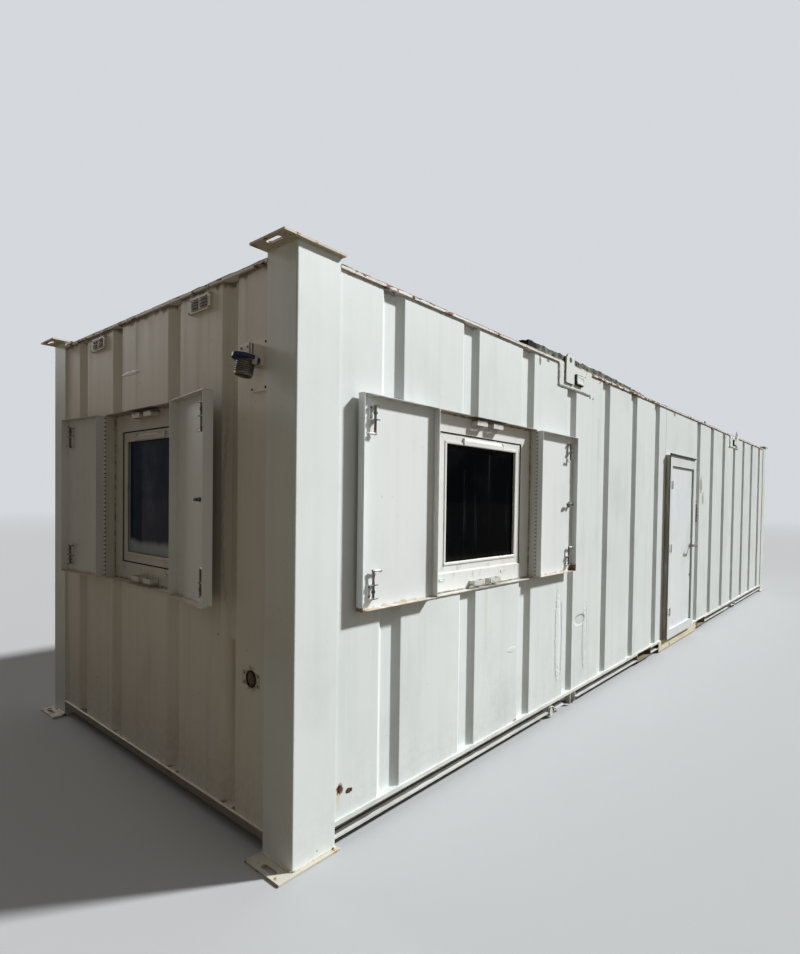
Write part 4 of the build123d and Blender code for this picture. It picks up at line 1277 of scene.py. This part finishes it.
def roof_felt():
    """Lumpy strip of felt along the front edge of the roof, torn off at both ends."""
    felt = block("roof_felt", (1.735, 0.014, roof_seam), (3.790, 0.110, 2.706))
    open_mesh(felt)
    pick_edges(felt, sideways)
    bpy.ops.mesh.subdivide(number_cuts=90)
    pick_edges(felt, lambda m, d: abs(d.y) > 0.9)
    bpy.ops.mesh.subdivide(number_cuts=3)
    for start in (2.9, 3.15, 3.35, 3.5, 3.62, 3.72):
        pick_faces(felt, lambda c, n, start=start: n.z > 0.5 and c.x > start)
        bpy.ops.transform.translate(value=(0, 0, -0.0055))
    pick_faces(felt, lambda c, n: c.z > 2.66 or n.y < -0.5)
    bpy.ops.transform.vertex_random(offset=0.0045, uniform=1.0, seed=4)
    close_mesh()
    settle(smooth(felt, 60), front, "felt")


def roof_fixings():
    """Bolts round the roof sheet, the seal under its edge and the knob at the front."""
    up = turned(-90, "X")
    long_row, end_row, inset = 15, 5, 0.045
    places = []
    for k in range(long_row):
        x = -length / 2 + 0.30 + (length - 0.60) * k / (long_row - 1)
        places += [at(x, y, 2.656) @ up for y in (-width / 2 + inset, width / 2 - inset)]
    for k in range(end_row):
        y = -width / 2 + 0.35 + (width - 0.70) * k / (end_row - 1)
        places += [at(x, y, 2.656) @ up for x in (-length / 2 + inset, length / 2 - inset)]
    settle(scatter(hex_bolt(0.007, 0.007), places, "roof_bolts"), middle_frame, "rusty")
    beads = []
    for side, run in walls:
        parts, end = (4, 0.222) if run == length else (1, 0.232)
        share = (run - 2 * end) / parts
        for k in range(parts):
            bead = weld_bead((end + share * k, 0.004, roof_seam), (end + share * (k + 1), 0.004, roof_seam),
                             0.0045, 7 + k)
            beads.append(moved(bead, side))
    settle(join(beads, "roof_edge_seal"), middle_frame, "mastic")
    knob = bent_rod("roof_knob", (5.850, 0.014, 2.655), 0.011, [
        ("run", (0, 0, 0.026)),
        ("turn", (5.861, 0.014, 2.681), (0, 1, 0), pi / 3),
        ("run", (0.006, 0, 0.003)),
    ])
    settle(knob, front, "rubber")


def rail_silt(side, where):
    """Painted shade: a dark lumpy strip along the back of the rail's mouth, between the pockets and the cover
    plate, where the rail's lip shades the lower flange.
    """
    heaps = []
    for a, b in ((0.218, 2.065), (2.185, 2.295), (2.500, 3.735), (4.100, 5.655), (6.020, length - 0.218)):
        heap = block("silt", (a, 0.021, 0.0525), (b, 0.0475, 0.061))
        open_mesh(heap)
        pick_edges(heap, sideways)
        bpy.ops.mesh.subdivide(number_cuts=int((b - a) / 0.05) + 2)
        pick_faces(heap, lambda c, n: n.z > 0.5 or n.y < -0.5)
        bpy.ops.transform.vertex_random(offset=0.0025, uniform=1.0, seed=int(a * 9))
        close_mesh()
        heaps.append(heap)
    settle(join(heaps, "rail_silt_" + where), side, "silt")


def wall_ledge(side, where):
    """Light ledge and its feet under an end wall."""
    ledge = block("ledge", (0.228, -0.0025, 0.1045), (width - 0.228, 0.009, 0.1095))
    round_off(ledge, lambda m, d: m.z > 0.109 and m.y < 0 and abs(d.x) > 0.9, 0.003, 2)
    feet = [soften(ledge, 0.0006, 1)]
    for low in (1.068, 1.835, 2.419):
        foot = sink(block("foot", (low + 0.036, 0.008, 0.1045), (low + 0.109, 0.041, 0.1085)),
                    upward, 0.004, 0.0006)
        feet.append(soften(foot, 0.0006, 1))
    settle(join(feet, "wall_ledge_" + where), side, "ledge")


def corner_welds():
    """Runs of weld round the posts on their plates."""
    beads = []
    for z, extra in ((0.0115, 1), (2.6835, -1)):
        for side, run in walls:
            leg = 0.215 if run == length else 0.225
            for a, b in ((0.004, leg), (run - leg, run - 0.004)):
                bead = weld_bead((a, -0.001, z), (b, -0.001, z), 0.0045, int(a * 7) + extra)
                beads.append(moved(bead, side))
    settle(join(beads, "corner_welds"), middle_frame, "foot_plate")


for side, where in long_sides:
    lug_details(side, where)
roof_felt()
roof_fixings()
for side, where in long_sides:
    rail_silt(side, where)
wall_ledge(near_end, "near")
wall_ledge(far_end, "far")
corner_welds()


# Camera at the photograph's angle, lamps and stage

def placed(name, data):
    """Put a camera or a lamp into the scene."""
    stand = bpy.data.objects.new(name, data)
    bpy.context.scene.collection.objects.link(stand)
    return stand


def lamp(name, source, strength, spread, tint=(1, 1, 1)):
    """Parallel light that comes from the direction of source."""
    light = bpy.data.lights.new(name, "SUN")
    light.energy = strength
    light.angle = radians(spread)
    light.color = tint
    placed(name, light).rotation_euler = Vector(source).to_track_quat("Z", "Y").to_euler()


camera = bpy.data.cameras.new("camera")
camera.lens = 20.495
camera.sensor_width = 36
camera.shift_x = -0.12304
camera.shift_y = 0.03653
camera.clip_end = 400
eye = placed("camera", camera)
eye.matrix_world = (
    at(-6.207, -3.593, 1.611) @ turned(35.001 - 90) @ turned(90 - 1.186, "X") @ turned(1.045))
bpy.context.scene.camera = eye

lamp("key_lamp", (1.175, -1.0, 1.31), 4.72, 5)
lamp("back_lamp", (-0.05, 1.0, 0.35), 0.62, 20)
lamp("front_lamp", (0.45, -1.0, 0.45), 0.24, 60, (0.80, 0.90, 1.0))

pale = (0.66, 0.69, 0.72, 1.0)
world = bpy.data.worlds.new("studio")
bpy.context.scene.world = world
world.use_nodes = True
air = Nodes(world.node_tree)
seen = air.add("ShaderNodeLightPath", {}, {}, "Is Camera Ray")
through = Wire(air, seen.socket.node.outputs["Is Transmission Ray"])
fill = air.add("ShaderNodeBackground", {}, {"Color": (1.0, 0.905, 0.78, 1), "Strength": 0.146})
backdrop = air.add("ShaderNodeBackground", {}, {"Color": pale, "Strength": 1.0})
choose = air.add("ShaderNodeMixShader", {}, {0: seen.most(through), 1: fill, 2: backdrop})
air.tree.links.new(choose.socket, air.tree.nodes["World Output"].inputs["Surface"])
air.tree.nodes.remove(air.tree.nodes["Background"])

deselect()
bpy.ops.mesh.primitive_plane_add(size=400, location=(0, 0, -0.001))
floor = freeze(fresh("studio_floor"))
stage = Finish("studio_floor", Specular_IOR_Level=0.2)
seen_floor = stage.add("ShaderNodeLightPath", {}, {}, "Is Camera Ray")
seen_all = seen_floor.most(Wire(stage, seen_floor.socket.node.outputs["Is Transmission Ray"]))
stage.done(stage.mix(seen_all, (0.15, 0.125, 0.092, 1), (0.46, 0.475, 0.49, 1)), 0.9)
distance = (stage.x ** 2 + stage.y ** 2) ** 0.5
fade = stage.rise(distance, 14.0, 60.0)
glow = stage.add("ShaderNodeEmission", {}, {"Color": pale, "Strength": 1.0})
blend = stage.add("ShaderNodeMixShader", {}, {
    0: fade * seen_all, 1: Wire(stage, stage.shader.outputs[0]), 2: glow})
stage.tree.links.new(blend.socket, stage.tree.nodes["Material Output"].inputs["Surface"])
floor.data.materials.append(stage.material)

bpy.context.scene.view_settings.view_transform = "Standard"
